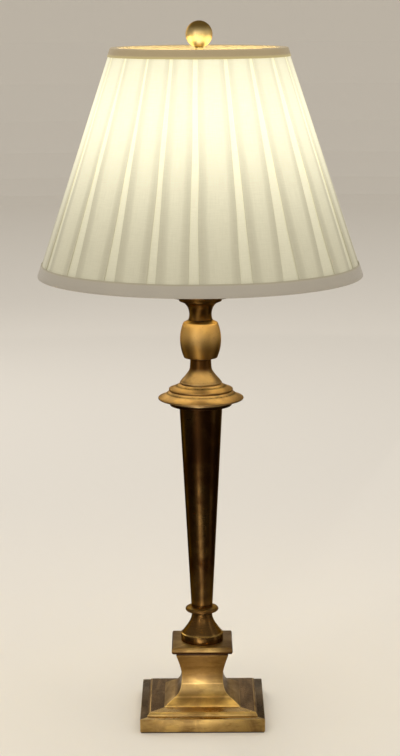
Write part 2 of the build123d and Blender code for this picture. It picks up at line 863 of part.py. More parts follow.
# Harp
def make_harp_bow():
    leg_top = saddle_top + harp_height * harp_leg_top_share
    low = saddle_top + harp_height * harp_low_share
    high = saddle_top + harp_height * harp_high_share
    foot_top = saddle_top + foot_height
    half = [
        (ear_spread, 0, foot_top), (ear_spread, 0, leg_top), (harp_half_width, 0, low),
        (harp_half_width, 0, high), (harp_crown_half, 0, harp_crown),
    ]
    mirrored = [(-across, depth, level) for across, depth, level in reversed(half)]
    bends = [harp_leg_bend, harp_low_bend, harp_high_bend, harp_crown_bend]
    path = FilletPolyline(*half, *mirrored, radius=[*bends, *reversed(bends)])
    bow = sweep(Plane(path @ 0, z_dir=path % 0) * Circle(wire_radius), path=path)
    bow -= disc(harp_eye_radius, eye_base - cut_overrun, eye_top + cut_overrun)
    bow += disc(harp_eye_radius, eye_base, eye_top)
    for side in (-1, 1):
        bow += harp_foot(side)
    hole_radius = swivel_shank_radius + running_fit
    return bow - disc(hole_radius, harp_crown - 2 * cut_overrun, harp_crown + 2 * cut_overrun)


def harp_foot(side):
    """A block on the end of the wire with a slot that slips over an ear of the saddle."""
    body = Pos(0, 0, foot_height / 2) * Box(foot_thickness, foot_width, foot_height)
    slot_height = ear_height + slot_fit
    slot = Box(saddle_thickness + 2 * slot_fit, ear_width + 2 * slot_fit, 2 * slot_height)
    return Pos(side * ear_spread, 0, saddle_top) * (body - slot)


def make_harp_sleeve(side):
    low = saddle_top + soft_gap
    strokes = eased_rim(sleeve_outer_radius, low, low + sleeve_height, sleeve_ease)
    return Pos(side * ear_spread, 0, 0) * turned(strokes, sleeve_inner_radius, low, low + sleeve_height)


def make_harp_swivel():
    """A riveted shank through the eye, a plate that carries the shade, and the stud above it."""
    rivet_top = eye_base - swivel_play
    swivel = disc(swivel_rivet_radius, rivet_top - swivel_rivet_height, rivet_top)
    swivel += disc(swivel_shank_radius, rivet_top, swivel_plate_base)
    swivel += disc(swivel_rivet_radius, eye_top + swivel_play, swivel_plate_base)
    swivel += disc(swivel_plate_radius, swivel_plate_base, washer_base)
    return swivel + disc(stud_radius, washer_base, washer_base + stud_height)


# Finial
def make_finial_base():
    flange_top = finial_base_level + finial_flange_height
    edge = finial_flange_radius - disc_ease
    strokes = eased_rim(finial_flange_radius, finial_base_level, flange_top, disc_ease)
    strokes.append(course((edge, flange_top), (finial_neck_radius, ball_seat), finial_neck_shares))
    solid = turned(strokes, 0, finial_base_level, ball_seat)
    hole_top = washer_base + stud_height + soft_gap
    return solid - disc(stud_radius + running_fit, finial_base_level - cut_overrun, hole_top)


def make_finial_ball():
    ball = Pos(0, 0, ball_level) * Sphere(finial_ball_radius)
    return ball - disc(finial_ball_radius, ball_level - 2 * finial_ball_radius, ball_seat)


# Shade
def ring_of_wire(level):
    section = Plane.XZ * Pos(cone_radius(level, ring_depth), level) * Circle(wire_radius)
    return revolve(section, Axis.Z)


def make_shade_top_ring():
    return ring_of_wire(top_ring_level)


def make_shade_bottom_ring():
    return ring_of_wire(bottom_ring_level)


def spider_arm(turn_angle, radius):
    """One arm from the washer out and up to the top ring."""
    start = (spider_arm_start, 0, washer_top + spider_arm_rise)
    end = (cone_radius(top_ring_level, ring_depth), 0, top_ring_level)
    return Rot(Z=turn_angle) * rod(start, end, radius)


def arm_angles():
    return [spider_arm_angle + count * 360 / spider_arms for count in range(spider_arms)]


def make_shade_spider():
    washer = disc(spider_washer_radius, washer_base, washer_top)
    for angle in arm_angles():
        washer += spider_arm(angle, wire_radius)
    hole = disc(spider_hole_radius, washer_base - cut_overrun, washer_top + cut_overrun)
    return washer - hole - ring_of_wire(top_ring_level)


def make_shade_struts():
    start = (cone_radius(bottom_ring_level, ring_depth), 0, bottom_ring_level)
    end = (cone_radius(top_ring_level, ring_depth), 0, top_ring_level)
    strut = rod(start, end, strut_radius) - ring_of_wire(top_ring_level) - ring_of_wire(bottom_ring_level)
    struts = Part()
    for count in range(strut_count):
        struts += Rot(Z=strut_start_angle + count * 360 / strut_count) * strut
    return struts


def make_shade_lining():
    low = shade_base + trim_thickness + trim_gap
    high = shade_top - trim_thickness - trim_gap
    return cone_band(lining_depth, lining_depth + lining_thickness, low, high)


def pleat_polygon(level, width_shares):
    """The pleated outline at a height: raised panels with a narrow sunk stripe between two panels."""
    raised = cone_radius(level, cover_depth)
    sunk = cone_radius(level, cover_depth + pleat_depth)
    stripes = []
    for count in range(pleat_count):
        centre = (first_pleat + count + stripe_shift_shares[count % len(stripe_shift_shares)]) * pleat_pitch
        half = width_shares[count % len(width_shares)] * pleat_pitch / 2
        stripes.append((centre - half, centre + half))
    fold = fold_share * pleat_pitch
    points = []
    for count, (start, end) in enumerate(stripes):
        following = stripes[(count + 1) % pleat_count][0]
        if count == pleat_count - 1:
            following += 360
        points += [(sunk, start), (sunk, end)]
        panel_start, panel_end = end + fold, following - fold
        for part in range(panel_parts + 1):
            points.append((raised, panel_start + (panel_end - panel_start) * part / panel_parts))
    return [(radius * sin(radians(angle)), -radius * cos(radians(angle))) for radius, angle in points]


def make_shade_cover():
    low = shade_base + trim_thickness + trim_gap
    high = shade_top - trim_thickness - trim_gap
    bottom = Pos(0, 0, low) * make_face(Polyline(*pleat_polygon(low, stripe_bottom_shares), close=True))
    top = Pos(0, 0, high) * make_face(Polyline(*pleat_polygon(high, stripe_top_shares), close=True))
    inner_depth = cover_depth + cover_thickness
    hollow = loft([
        Pos(0, 0, low - cut_overrun) * Circle(cone_radius(low - cut_overrun, inner_depth)),
        Pos(0, 0, high + cut_overrun) * Circle(cone_radius(high + cut_overrun, inner_depth)),
    ])
    return loft([bottom, top], ruled=True) - hollow


def make_top_trim():
    edge = shade_top - trim_thickness
    outer = cone_band(0, trim_thickness, shade_top - top_trim_height, shade_top)
    fold = cone_band(trim_thickness, tuck_depth + trim_thickness, edge, shade_top)
    tuck = cone_band(tuck_depth, tuck_depth + trim_thickness, shade_top - trim_tuck_height, edge)
    trim = outer + fold + tuck
    for angle in arm_angles():
        trim -= spider_arm(angle, wire_radius + soft_gap)
    return trim


def make_bottom_trim():
    edge = shade_base + trim_thickness
    outer = cone_band(0, trim_thickness, shade_base, shade_base + bottom_trim_height)
    fold = cone_band(trim_thickness, tuck_depth + trim_thickness, shade_base, edge)
    tuck = cone_band(tuck_depth, tuck_depth + trim_thickness, edge, shade_base + trim_tuck_height)
    return outer + fold + tuck


sub_parts = {
    "base_felt": make_base_felt(),
    "base_plinth": make_base_plinth(),
    "cord_bushing": make_cord_bushing(),
    "base_weight": make_base_weight(),
    "base_washer": make_base_washer(),
    "base_lock_washer": make_base_lock_washer(),
    "base_nut": make_base_nut(),
    "lamp_pipe": make_lamp_pipe(),
    "pedestal": make_pedestal(),
    "pedestal_cap": make_pedestal_cap(),
    "foot_bell": make_foot_bell(),
    "bead_ring": make_bead_ring(),
    "column": make_column(),
    "under_ring": make_under_ring(),
    "drip_disc": make_drip_disc(),
    "tier_disc": make_tier_disc(),
    "bell_neck": make_bell_neck(),
    "barrel": make_barrel(),
    "candle_cup": make_candle_cup(),
    "drip_pan": make_drip_pan(),
    "harp_saddle": make_harp_saddle(),
    "saddle_nut": make_saddle_nut(),
    "socket_cap": make_socket_cap(),
    "set_screw": make_set_screw(),
    "socket_shell": make_socket_shell(),
    "insulating_sleeve": make_insulating_sleeve(),
    "socket_interior": make_socket_interior(),
    "terminal_screws": make_terminal_screws(),
    "centre_contact": make_centre_contact(),
    "screw_shell": make_screw_shell(),
    "switch_stem": make_switch_stem(),
    "switch_knob": make_switch_knob(),
    "bulb_glass": make_bulb_glass(),
    "bulb_cap": make_bulb_cap(),
    "bulb_contact": make_bulb_contact(),
    "harp_bow": make_harp_bow(),
    "harp_sleeve_left": make_harp_sleeve(-1),
    "harp_sleeve_right": make_harp_sleeve(1),
    "harp_swivel": make_harp_swivel(),
    "finial_base": make_finial_base(),
    "finial_ball": make_finial_ball(),
    "shade_spider": make_shade_spider(),
    "shade_top_ring": make_shade_top_ring(),
    "shade_bottom_ring": make_shade_bottom_ring(),
    "shade_struts": make_shade_struts(),
    "shade_lining": make_shade_lining(),
    "shade_cover": make_shade_cover(),
    "shade_top_trim": make_top_trim(),
    "shade_bottom_trim": make_bottom_trim(),
}

os.makedirs("parts", exist_ok=True)
for node, solid in sub_parts.items():
    export_step(solid, os.path.join("parts", node + ".step"))
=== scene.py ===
"""Looks of a brass candlestick table lamp with a pleated shade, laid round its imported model.

Lengths are in metres. The origin is under the middle of the foot, +Z is up and -Y is the front.
"""

import math

import bmesh
import bpy
from mathutils import Matrix, Vector, noise


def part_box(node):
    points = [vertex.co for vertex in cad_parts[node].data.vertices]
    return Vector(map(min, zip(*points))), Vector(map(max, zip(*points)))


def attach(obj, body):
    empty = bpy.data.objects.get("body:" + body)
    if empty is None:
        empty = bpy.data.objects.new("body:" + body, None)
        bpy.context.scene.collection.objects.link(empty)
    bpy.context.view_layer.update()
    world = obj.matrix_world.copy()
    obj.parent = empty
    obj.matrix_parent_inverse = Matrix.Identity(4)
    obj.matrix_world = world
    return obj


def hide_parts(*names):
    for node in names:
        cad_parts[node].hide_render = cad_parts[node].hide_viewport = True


bl_info = {
    "name": "Candlestick Lamp",
    "version": (1, 0, 0),
    "blender": (4, 5, 0),
    "location": "View3D > Sidebar > Lamp",
    "description": "Dresses a candlestick table lamp in brass, pleated cloth and glass",
    "category": "Object",
}

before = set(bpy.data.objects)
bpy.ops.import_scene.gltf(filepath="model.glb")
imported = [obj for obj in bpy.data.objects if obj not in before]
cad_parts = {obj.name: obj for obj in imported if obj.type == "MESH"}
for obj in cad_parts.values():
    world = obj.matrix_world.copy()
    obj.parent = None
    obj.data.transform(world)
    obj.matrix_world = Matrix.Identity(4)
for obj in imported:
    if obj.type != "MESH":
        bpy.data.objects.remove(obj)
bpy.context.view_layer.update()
node_boxes = {node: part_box(node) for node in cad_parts}

MM = 0.001
FULL_TURN = 2 * math.pi


def tone(red, green, blue):
    """A screen colour, 0 to 255, as the linear colour that shaders use."""
    shares = [value / 255 for value in (red, green, blue)]
    return tuple(s / 12.92 if s <= 0.04045 else ((s + 0.055) / 1.055) ** 2.4 for s in shares)


def seat(node):
    """The lowest and highest point of a piece of the frame, and its largest reach along +X."""
    low, high = node_boxes[node]
    return low.z, high.z, high.x


# Settings that a user would change
def colour_setting(name, description, red, green, blue):
    colour = tone(red, green, blue)
    return bpy.props.FloatVectorProperty(name=name, description=description, default=colour, subtype="COLOR")


def number_setting(name, description, value, **kind):
    return bpy.props.FloatProperty(name=name, description=description, default=value, **kind)


class LampShadeSettings(bpy.types.PropertyGroup):
    """Sizes and colours of the pleated shade."""

    pleats: bpy.props.IntProperty(name="Pleats", description="Box pleats round the shade", default=21, min=6)
    pleat_depth: number_setting("Pleat depth", "How deep the stripes lie", 1.3 * MM, unit="LENGTH")
    cloth: colour_setting("Cloth", "Colour of the pleated cloth", 196, 192, 170)
    tape: colour_setting("Tape", "Colour of the woven tape on both edges", 180, 172, 157)
    lining: colour_setting("Lining", "Colour of the lining", 240, 235, 215)
    glow: colour_setting("Glow", "Colour of the light that comes through", 255, 250, 214)
    glow_strength: number_setting("Glow strength", "Glow of the cloth at the bulb's height", 0.85, min=0)


class LampBrassSettings(bpy.types.PropertyGroup):
    """Colours of the brass."""

    # Worn brass also colours the bright lines of the turned pieces, which are partly rubbed edges and partly
    # painted highlights
    bright: colour_setting("Worn brass", "Colour where the brass is rubbed bright", 214, 178, 106)
    aged: colour_setting("Aged brass", "Colour of the square foot", 172, 140, 86)
    patina: colour_setting("Patina", "Colour of the dark brown stem", 44, 25, 9)
    grime: colour_setting("Grime", "Colour of the dirt in the joints", 24, 15, 8)


class LampBulbSettings(bpy.types.PropertyGroup):
    """The lit bulb."""

    colour: colour_setting("Light", "Colour of the bulb's light", 255, 236, 196)
    strength: number_setting("Strength", "Glow of the bulb's glass", 1.6, min=0)
    power: number_setting("Power", "Light that the bulb throws round it, in watts", 1.2, min=0)


class LampStageSettings(bpy.types.PropertyGroup):
    """Floor and camera."""

    floor: colour_setting("Floor", "Colour of the floor and the backdrop", 236, 231, 222)
    camera_distance: number_setting("Camera distance", "Level, from the stem", 2.277, unit="LENGTH")
    camera_height: number_setting("Camera height", "Above the floor", 0.8146, unit="LENGTH")
    camera_tilt: number_setting("Camera tilt", "Below the horizon", math.radians(10.66), subtype="ANGLE")
    camera_heading: number_setting("Camera heading", "Turn to the left", 0.00038, subtype="ANGLE")
    camera_roll: number_setting("Camera roll", "About the line of sight", -0.0053, subtype="ANGLE")
    camera_lens: number_setting("Lens", "Focal length for a 36 mm frame height, in millimetres", 100.1)


def settings(name):
    return getattr(bpy.context.scene, name)


# Shader sums
def operator(kind, swapped=False):
    """A method that sums a value and another one."""

    def method(value, other):
        return value.math(kind, other, value) if swapped else value.math(kind, value, other)

    return method


class Value:
    """A shader socket that can be used in Python sums, each of which adds a Math node."""

    def __init__(self, shader, socket):
        self.shader = shader
        self.socket = socket

    def math(self, kind, first, second=0.0, clamp=False):
        kinds = {"operation": kind, "use_clamp": clamp}
        return self.shader.node("ShaderNodeMath", kinds, {0: first, 1: second})

    __add__ = __radd__ = operator("ADD")
    __sub__ = operator("SUBTRACT")
    __rsub__ = operator("SUBTRACT", swapped=True)
    __mul__ = __rmul__ = operator("MULTIPLY")
    __truediv__ = operator("DIVIDE")
    larger = operator("MAXIMUM")

    def __abs__(self):
        return self.math("ABSOLUTE", self)

    def clamped(self):
        return self.math("ADD", self, clamp=True)

    def root(self):
        return self.math("SQRT", self)

    def sine(self):
        return self.math("SINE", self)


class Shader:
    """One material's nodes."""

    def __init__(self, name):
        self.material = bpy.data.materials.new(name)
        self.material.use_nodes = True
        self.tree = self.material.node_tree
        self.tree.nodes.clear()

    def node(self, kind, kinds=None, values=None, output=0):
        """Adds a node: its settings first, then the values or links of its sockets."""
        made = self.tree.nodes.new(kind)
        for key, value in (kinds or {}).items():
            setattr(made, key, value)
        for key, value in (values or {}).items():
            if isinstance(value, Value):
                self.tree.links.new(value.socket, made.inputs[key])
            else:
                made.inputs[key].default_value = value
        return Value(self, made.outputs[output]) if made.outputs else None

    def split(self, vector):
        """The three parts of a vector."""
        return [self.node("ShaderNodeSeparateXYZ", values={0: vector}, output=axis) for axis in range(3)]

    def place(self):
        """The point on the piece, in metres: the vector and its three parts."""
        vector = self.node("ShaderNodeTexCoord", output=3)
        return vector, *self.split(vector)

    def joined(self, x, y, z):
        return self.node("ShaderNodeCombineXYZ", values={0: x, 1: y, 2: z})

    def noise(self, vector, scale, detail=3.0, roughness=0.5, distortion=0.0):
        sockets = {"Vector": vector, "Scale": scale, "Detail": detail, "Roughness": roughness,
                   "Distortion": distortion}
        return self.node("ShaderNodeTexNoise", values=sockets)

    def smooth(self, value, low, high, start=0.0, end=1.0):
        """Goes smoothly from start to end as the value goes from low to high."""
        sockets = {0: value, 1: low, 2: high, 3: start, 4: end}
        return self.node("ShaderNodeMapRange", {"interpolation_type": "SMOOTHSTEP"}, sockets)

    def blend(self, share, first, second, mode="MIX"):
        """Two colours mixed by a share."""
        kinds = {"data_type": "RGBA", "blend_type": mode}
        first, second = [colour if isinstance(colour, Value) else (*colour, 1) for colour in (first, second)]
        return self.node("ShaderNodeMix", kinds, {0: share, 6: first, 7: second}, 2)

    def painted(self, surface, *coats):
        """A surface under coats of colour, each laid on by its share."""
        for share, colour in coats:
            surface = self.blend(share, surface, colour)
        return surface

    def dimmed(self, colour, share):
        """A colour times a share."""
        return self.blend(1.0, colour, self.joined(share, share, share), "MULTIPLY")

    def bump(self, height, distance, strength=1.0):
        values = {"Strength": strength, "Distance": distance, "Height": height}
        return self.node("ShaderNodeBump", values=values)

    def finished(self, **sockets):
        """Ends the material in a Principled shader and gives the material."""
        values = {name.replace("_", " ").title(): value for name, value in sockets.items()}
        if not isinstance(values["Base Color"], Value):
            values["Base Color"] = (*values["Base Color"], 1)
        surface = self.node("ShaderNodeBsdfPrincipled", values=values)
        self.node("ShaderNodeOutputMaterial", values={"Surface": surface})
        return self.material


# Measures of the square foot: half widths from the axis and heights over the plinth
PLINTH_TOP = seat("base_plinth")[1]
PLINTH_WALL = 3 * MM
PEDESTAL_HALF = 61.0 * MM
PEDESTAL_LIP = (56.5 * MM, 4.8 * MM)
PEDESTAL_TOE_HALF = 42.5 * MM
PEDESTAL_ARRIS = (30.8 * MM, 12.6 * MM)
PEDESTAL_WAIST = (23.5 * MM, 25.75 * MM)
PEDESTAL_NECK = (29.0 * MM, 60.0 * MM)
CAP_EDGE_BULGE = 1.3 * MM
DIAGONAL = 0.707
OVOLO_SHARES = ((0.29, 0.33), (0.62, 0.66))
SCOTIA_LOW_SHARES = ((0.47, 0.22), (0.81, 0.55))
SCOTIA_HIGH_SHARES = ((-0.07, 0.34), (0.31, 0.64))

# Brass finishes, with their painted highlights, reflections and shade
ACROSS_THE_GRAIN = 0.25
TURNING_MARKS_PER_METRE = 1400
TURNED_SCRATCHES_PER_METRE = 1560
CAST_SCRATCHES_PER_METRE = 780
TURNED_WEAR_AND_HIGHLIGHT_WIDTH = 0.9 * MM
TURNED_DIRT_WIDTH = 1.3 * MM
CAST_WEAR_AND_HIGHLIGHT_WIDTH = 1.3 * MM
CAST_DIRT_WIDTH = 1.2 * MM
STREAK_BROWN = tone(116, 84, 38)
# Rubbed mitres and painted highlight lines on the foot's front
RUBBED_ARRIS_AND_HIGHLIGHT = tone(238, 204, 134)
# Painted reflections on the foot's flat upper faces, dark and paler, and a painted highlight on their front
# part
TOP_DARK_REFLECTION, TOP_PALE_REFLECTION, TOP_FRONT_HIGHLIGHT = tone(92, 68, 44), tone(140, 112, 78), tone(228, 190, 122)
# Painted shade on the foot's sides, in the hollow and just under the cap, and towards the ends of cap and
# plinth
SIDE_SHADE, HOLLOW_SHADE, UNDERCUT_SHADOW = tone(88, 62, 37), tone(100, 68, 26), tone(44, 24, 6)
CAP_END_SHADE, PLINTH_END_SHADE = tone(84, 56, 28), tone(98, 72, 34)


def joints_share(shader, z, levels, width):
    """A share that is 1 at each of these heights and falls to 0 within a width of it."""
    near = None
    for level in levels:
        here = shader.smooth(abs(z - level), 0.0, width, 1.0, 0.0)
        near = near.larger(here) if near else here
    return near


def turned_brass(
    name, colour, dirty_levels, wear_and_highlight_levels=(), polish=0.3, mottle=0.05, brushed=0.7, change=None
):
    """Brass turned about the stem's axis: fine rings, cloudy patina, dirty joints, and bright lines that are
    partly rubbed edges and partly painted highlights.

    A change is another colour, the way in which it comes, up or out, and where it starts and is full; on the
    discs, the barrel and the finial it is painted shade.
    """
    shader = Shader(name)
    brass = settings("lamp_brass")
    vector, x, y, z = shader.place()
    radius = (x * x + y * y).root()
    clouds = shader.noise(vector, 24, 5, 0.6, 0.4)
    specks = shader.noise(vector, 330, 2, 0.6)
    rings = shader.noise(shader.joined(radius, 0.0, z), TURNING_MARKS_PER_METRE, 2, 0.7)
    scratches = shader.noise(shader.joined(x * 0.16, y * 0.16, z), TURNED_SCRATCHES_PER_METRE, 3, 0.8)
    dark = shader.smooth(specks, 0.62, 0.78) * 0.5 + shader.smooth(clouds, 0.48, 0.3) * 0.45
    coats = [(shader.smooth(clouds, 0.42, 0.66) * mottle, brass.bright), (dark.clamped(), brass.grime)]
    if change:
        shade, way, start, end = change
        coats.append((shader.smooth({"up": z, "out": radius}[way], start, end), shade))
    # Bright lines at these heights: partly rubbed edges, partly painted highlights
    if wear_and_highlight_levels:
        wear_and_highlight = joints_share(shader, z, wear_and_highlight_levels, TURNED_WEAR_AND_HIGHLIGHT_WIDTH)
        coats.append((wear_and_highlight * shader.smooth(clouds, 0.3, 0.6, 0.3, 0.8) * 0.6, brass.bright))
    dirt = joints_share(shader, z, dirty_levels, TURNED_DIRT_WIDTH)
    coats.append((dirt * shader.smooth(specks, 0.25, 0.7, 0.95, 0.55), brass.grime))
    rough = polish + (rings - 0.5) * 0.22 + shader.smooth(clouds, 0.35, 0.7, 0.12, -0.03)
    rough = rough + (scratches - 0.5) * 0.1
    return shader.finished(
        base_color=shader.painted(colour, *coats), metallic=1.0, roughness=rough.clamped(),
        specular_tint=(0.7, 0.55, 0.4, 1), anisotropic=brushed, anisotropic_rotation=ACROSS_THE_GRAIN,
        normal=shader.bump(rings * 0.6 + scratches * 0.25 + specks * 0.3, 0.03 * MM, 0.5),
    )


def cast_brass(name, colour, wear_and_highlight_levels, dirty_levels):
    """Brass cast in a square form: cloudy and pitted, with rubbed mitres, painted highlight lines along its
    front, painted reflections on its flat upper faces and painted shade.
    """
    shader = Shader(name)
    brass = settings("lamp_brass")
    vector, x, y, z = shader.place()
    sideways, _, upward = shader.split(shader.node("ShaderNodeNewGeometry", output=1))
    clouds = shader.noise(vector, 34, 6, 0.62, 0.8)
    streaks = shader.noise(shader.joined(x * 0.35, y * 0.35, z * 1.6), 90, 4, 0.6, 0.6)
    top_reflection_streaks = shader.noise(shader.joined(x, y * 0.12, 0.0), 120, 4, 0.6, 0.5)
    scratches = shader.noise(shader.joined(x * 0.08, y, z), CAST_SCRATCHES_PER_METRE, 3, 0.8)
    pits = shader.smooth(shader.noise(vector, 420, 2, 0.6), 0.7, 0.78)
    cloudy = shader.smooth(clouds, 0.38, 0.64)
    front = shader.smooth(0.0 - y - abs(x), -1.5 * MM, 1.5 * MM)
    mitres = shader.smooth(abs(abs(x) - abs(y)), 0.0, 1.6 * MM, 1.0, 0.0) * 0.7
    # Rubbed mitres, and painted highlight lines at the given heights, mostly on the front
    wear_and_highlight = mitres.larger(joints_share(shader, z, wear_and_highlight_levels, CAST_WEAR_AND_HIGHLIGHT_WIDTH) * (front * 0.85 + 0.05))
    # Painted reflections on the flat upper faces: dark brown with streaks from front to back, and a painted
    # highlight on their front part
    flat = shader.smooth(upward, 0.93, 0.99) * shader.smooth(z, PLINTH_TOP + 12 * MM, PLINTH_TOP + 8 * MM)
    top_reflections = shader.blend(shader.smooth(top_reflection_streaks, 0.4, 0.7), TOP_DARK_REFLECTION, TOP_PALE_REFLECTION)
    dirt = joints_share(shader, z, dirty_levels, CAST_DIRT_WIDTH) * shader.smooth(streaks, 0.3, 0.7, 1.0, 0.6)
    surface = shader.painted(
        colour,
        (cloudy * 0.8, brass.bright),
        (shader.smooth(streaks, 0.52, 0.3) * 0.55, STREAK_BROWN),
        (wear_and_highlight * shader.smooth(clouds, 0.3, 0.6, 0.5, 1.0), RUBBED_ARRIS_AND_HIGHLIGHT),
        (flat, shader.blend(front, top_reflections, TOP_FRONT_HIGHLIGHT)),
        # Painted shade on the sides, in the hollow and under the cap, and towards the ends of cap and plinth
        *browned(shader, x, z, sideways, clouds),
        ((dirt * (0.8 - front * 0.5)).larger(pits * 0.7), brass.grime),
    )
    rough = 0.38 - cloudy * 0.08 + shader.smooth(streaks, 0.35, 0.65, 0.12, 0.0) + (scratches - 0.5) * 0.16
    return shader.finished(
        base_color=surface, metallic=1.0, roughness=(rough - flat * 0.16).clamped(), coat_weight=0.1,
        coat_roughness=0.25, specular_tint=(0.8, 0.72, 0.62, 1), anisotropic=0.5,
        anisotropic_rotation=ACROSS_THE_GRAIN,
        normal=shader.bump(scratches * 0.3 + streaks * 0.5 - pits * 1.5, 0.04 * MM, 0.6),
    )


def browned(shader, x, z, sideways, clouds):
    """Painted shade on the foot: on its sides, in the hollow under the cap, just under the cap, and towards
    the ends of cap and plinth.
    """
    waist, under_cap, edge = PLINTH_TOP + PEDESTAL_WAIST[1], seat("pedestal_cap")[0], 1 * MM
    sides = shader.smooth(abs(sideways), 0.25, 0.7, 0.0, 0.85)
    sides = sides * shader.smooth(z, PLINTH_TOP, PLINTH_TOP + edge)
    hollow = shader.smooth(z, waist + 0.5 * MM, waist + 9 * MM, 0.0, 0.72)
    undercut = shader.smooth(abs(z - under_cap), 1.6 * MM, 4 * MM, 1.0, 0.0)
    cap = shader.smooth(x, 4 * MM, 28 * MM, 0.0, 0.8) + shader.smooth(x, -12 * MM, -35 * MM, 0.0, 0.75)
    plinth = shader.smooth(x, -12 * MM, 58 * MM, 0.0, 0.8) + shader.smooth(x, -40 * MM, -64 * MM, 0.0, 0.45)
    plinth = plinth * shader.smooth(z, PLINTH_TOP, PLINTH_TOP - edge)
    return (
        (sides, SIDE_SHADE),
        (hollow * shader.smooth(z, under_cap, under_cap - 0.3 * MM), HOLLOW_SHADE),
        (undercut, UNDERCUT_SHADOW),
        (cap * shader.smooth(z, under_cap, under_cap + edge), CAP_END_SHADE),
        (plinth * shader.smooth(clouds, 0.25, 0.6, 1.0, 0.7), PLINTH_END_SHADE),
    )


def drawn_metal(name, colour, rough, grain, dull=tone(96, 74, 42)):
    """Sheet, wire or rod drawn bright: a fine grain one way and a few dull clouds."""
    shader = Shader(name)
    vector, x, y, z = shader.place()
    lines = shader.noise(shader.joined(x * grain[0], y * grain[1], z * grain[2]), 1900, 3, 0.7)
    clouds = shader.noise(vector, 60, 4, 0.6, 0.3)
    surface = shader.blend(shader.smooth(clouds, 0.5, 0.75) * 0.45, colour, dull)
    rough = rough + (lines - 0.5) * 0.2 + shader.smooth(clouds, 0.4, 0.7, 0.0, 0.12)
    return shader.finished(
        base_color=surface, metallic=1.0, roughness=rough.clamped(), normal=shader.bump(lines, 0.02 * MM, 0.6)
    )


# Plastics, iron, felt and fibre
def moulded(name, colour, rough, grain_scale=900.0, depth=0.02 * MM, sheen=0.0, mottle=0.3):
    """A moulded, cast or felted surface with a fine grain."""
    shader = Shader(name)
    vector, *_ = shader.place()
    grain = shader.noise(vector, grain_scale, 4, 0.65)
    clouds = shader.noise(vector, 45, 3, 0.5)
    share = (shader.smooth(clouds, 0.35, 0.7) * 0.6 + (grain - 0.5) * 0.8) * mottle
    lighter = tuple(min(1.0, value * 1.8 + 0.01) for value in colour)
    surface = shader.blend(share.clamped(), colour, lighter)
    sockets = {"sheen_weight": sheen} if sheen else {}
    return shader.finished(
        base_color=surface, roughness=(rough + (grain - 0.5) * 0.2).clamped(),
        normal=shader.bump(grain, depth, 0.8), **sockets,
    )


# Shade cloths
PALE_THREAD, FOLD_SHADOW = tone(222, 218, 200), tone(150, 142, 112)
PALE_RIB, TAPE_SHADOW, TAPE_GLOW = tone(212, 202, 178), tone(150, 140, 100), tone(214, 200, 120)
GLOW_REACH = 0.125
GLOW_RISE = 0.035
LINING_GLOW = 1.1
THREADS_PER_METRE = 1700
RIBS_PER_METRE = 1150


def bulb_light(shader):
    """How strongly the bulb lights a point of the shade: 1 on the cone beside the bulb, less further off."""
    _, x, y, z = shader.place()
    rise = z - (bulb_level() + GLOW_RISE)
    radius = (x * x + y * y).root()
    distance = (radius * radius + rise * rise).root()
    slant = math.hypot(1, shade_slope())
    facing = (radius + rise * shade_slope()) / (distance * slant)
    return facing.larger(0.0) * GLOW_REACH ** 2 / (distance * distance)


def weave_height(shader, across, along):
    """The relief of a plain weave, from lengths across and along the cloth."""
    warp = (across * THREADS_PER_METRE * math.pi).sine()
    weft = (along * THREADS_PER_METRE * math.pi).sine()
    return abs(warp * weft)


def cloth_parts(shader):
    """The cloth's own lengths across and along, from its UV map, which is in metres."""
    return shader.split(shader.node("ShaderNodeUVMap", {"uv_map": "cloth"}))[:2]


def pleated_cloth(name):
    """Thin cloth with the bulb's light painted on as a glow: bright where it is single, darker where its
    folds lie behind it.
    """
    shader = Shader(name)
    shade = settings("lamp_shade")
    across, along = cloth_parts(shader)
    *_, z = shader.place()
    low, high, _ = seat("shade_cover")
    layers = shader.node("ShaderNodeAttribute", {"attribute_name": "single_share"}, output=2)
    even = shader.smooth(z, low + (high - low) * 0.1, low + (high - low) * 0.75, 0.0, 0.42)
    slubs = shader.noise(shader.joined(across, along * 0.06, 0.0), 900, 3, 0.6)
    cross = shader.noise(shader.joined(across * 0.08, along, 0.0), 900, 3, 0.6)
    clouds = shader.noise(shader.joined(across, along * 0.25, 0.0), 26, 3, 0.5)
    threads = (slubs + cross) * 0.5
    tinted = shader.blend(shader.smooth(threads, 0.35, 0.65) * 0.2, shade.cloth, PALE_THREAD)
    surface = shader.blend(shader.smooth(layers, 0.0, 1.0, 0.22, 0.0), tinted, FOLD_SHADOW)
    passed = (1.0 - (1.0 - layers) * (0.66 - even)) * (0.96 + (threads - 0.5) * 0.3 + (clouds - 0.5) * 0.2)
    lit = bulb_light(shader) * passed * shade.glow_strength
    glow = shader.dimmed(shade.glow, lit)
    height = weave_height(shader, across, along) * 0.15 + threads
    return shader.finished(
        base_color=surface, roughness=0.85, sheen_weight=0.15, sheen_roughness=0.4, emission_color=glow,
        emission_strength=1.0, normal=shader.bump(height, 0.06 * MM, 0.5),
    )


def lining_cloth(name):
    """Smooth lining that faces the bulb, with the bulb's light painted on as a glow."""
    shader = Shader(name)
    shade = settings("lamp_shade")
    across, along = cloth_parts(shader)
    clouds = shader.noise(shader.joined(across, along, 0.0), 30, 3, 0.5)
    light = bulb_light(shader) * (0.9 + (clouds - 0.5) * 0.3) * LINING_GLOW
    glow = shader.dimmed(shade.glow, light)
    height = weave_height(shader, across, along)
    return shader.finished(
        base_color=shade.lining, roughness=0.7, sheen_weight=0.1, emission_color=glow,
        emission_strength=1.0, normal=shader.bump(height, 0.03 * MM, 0.4),
    )


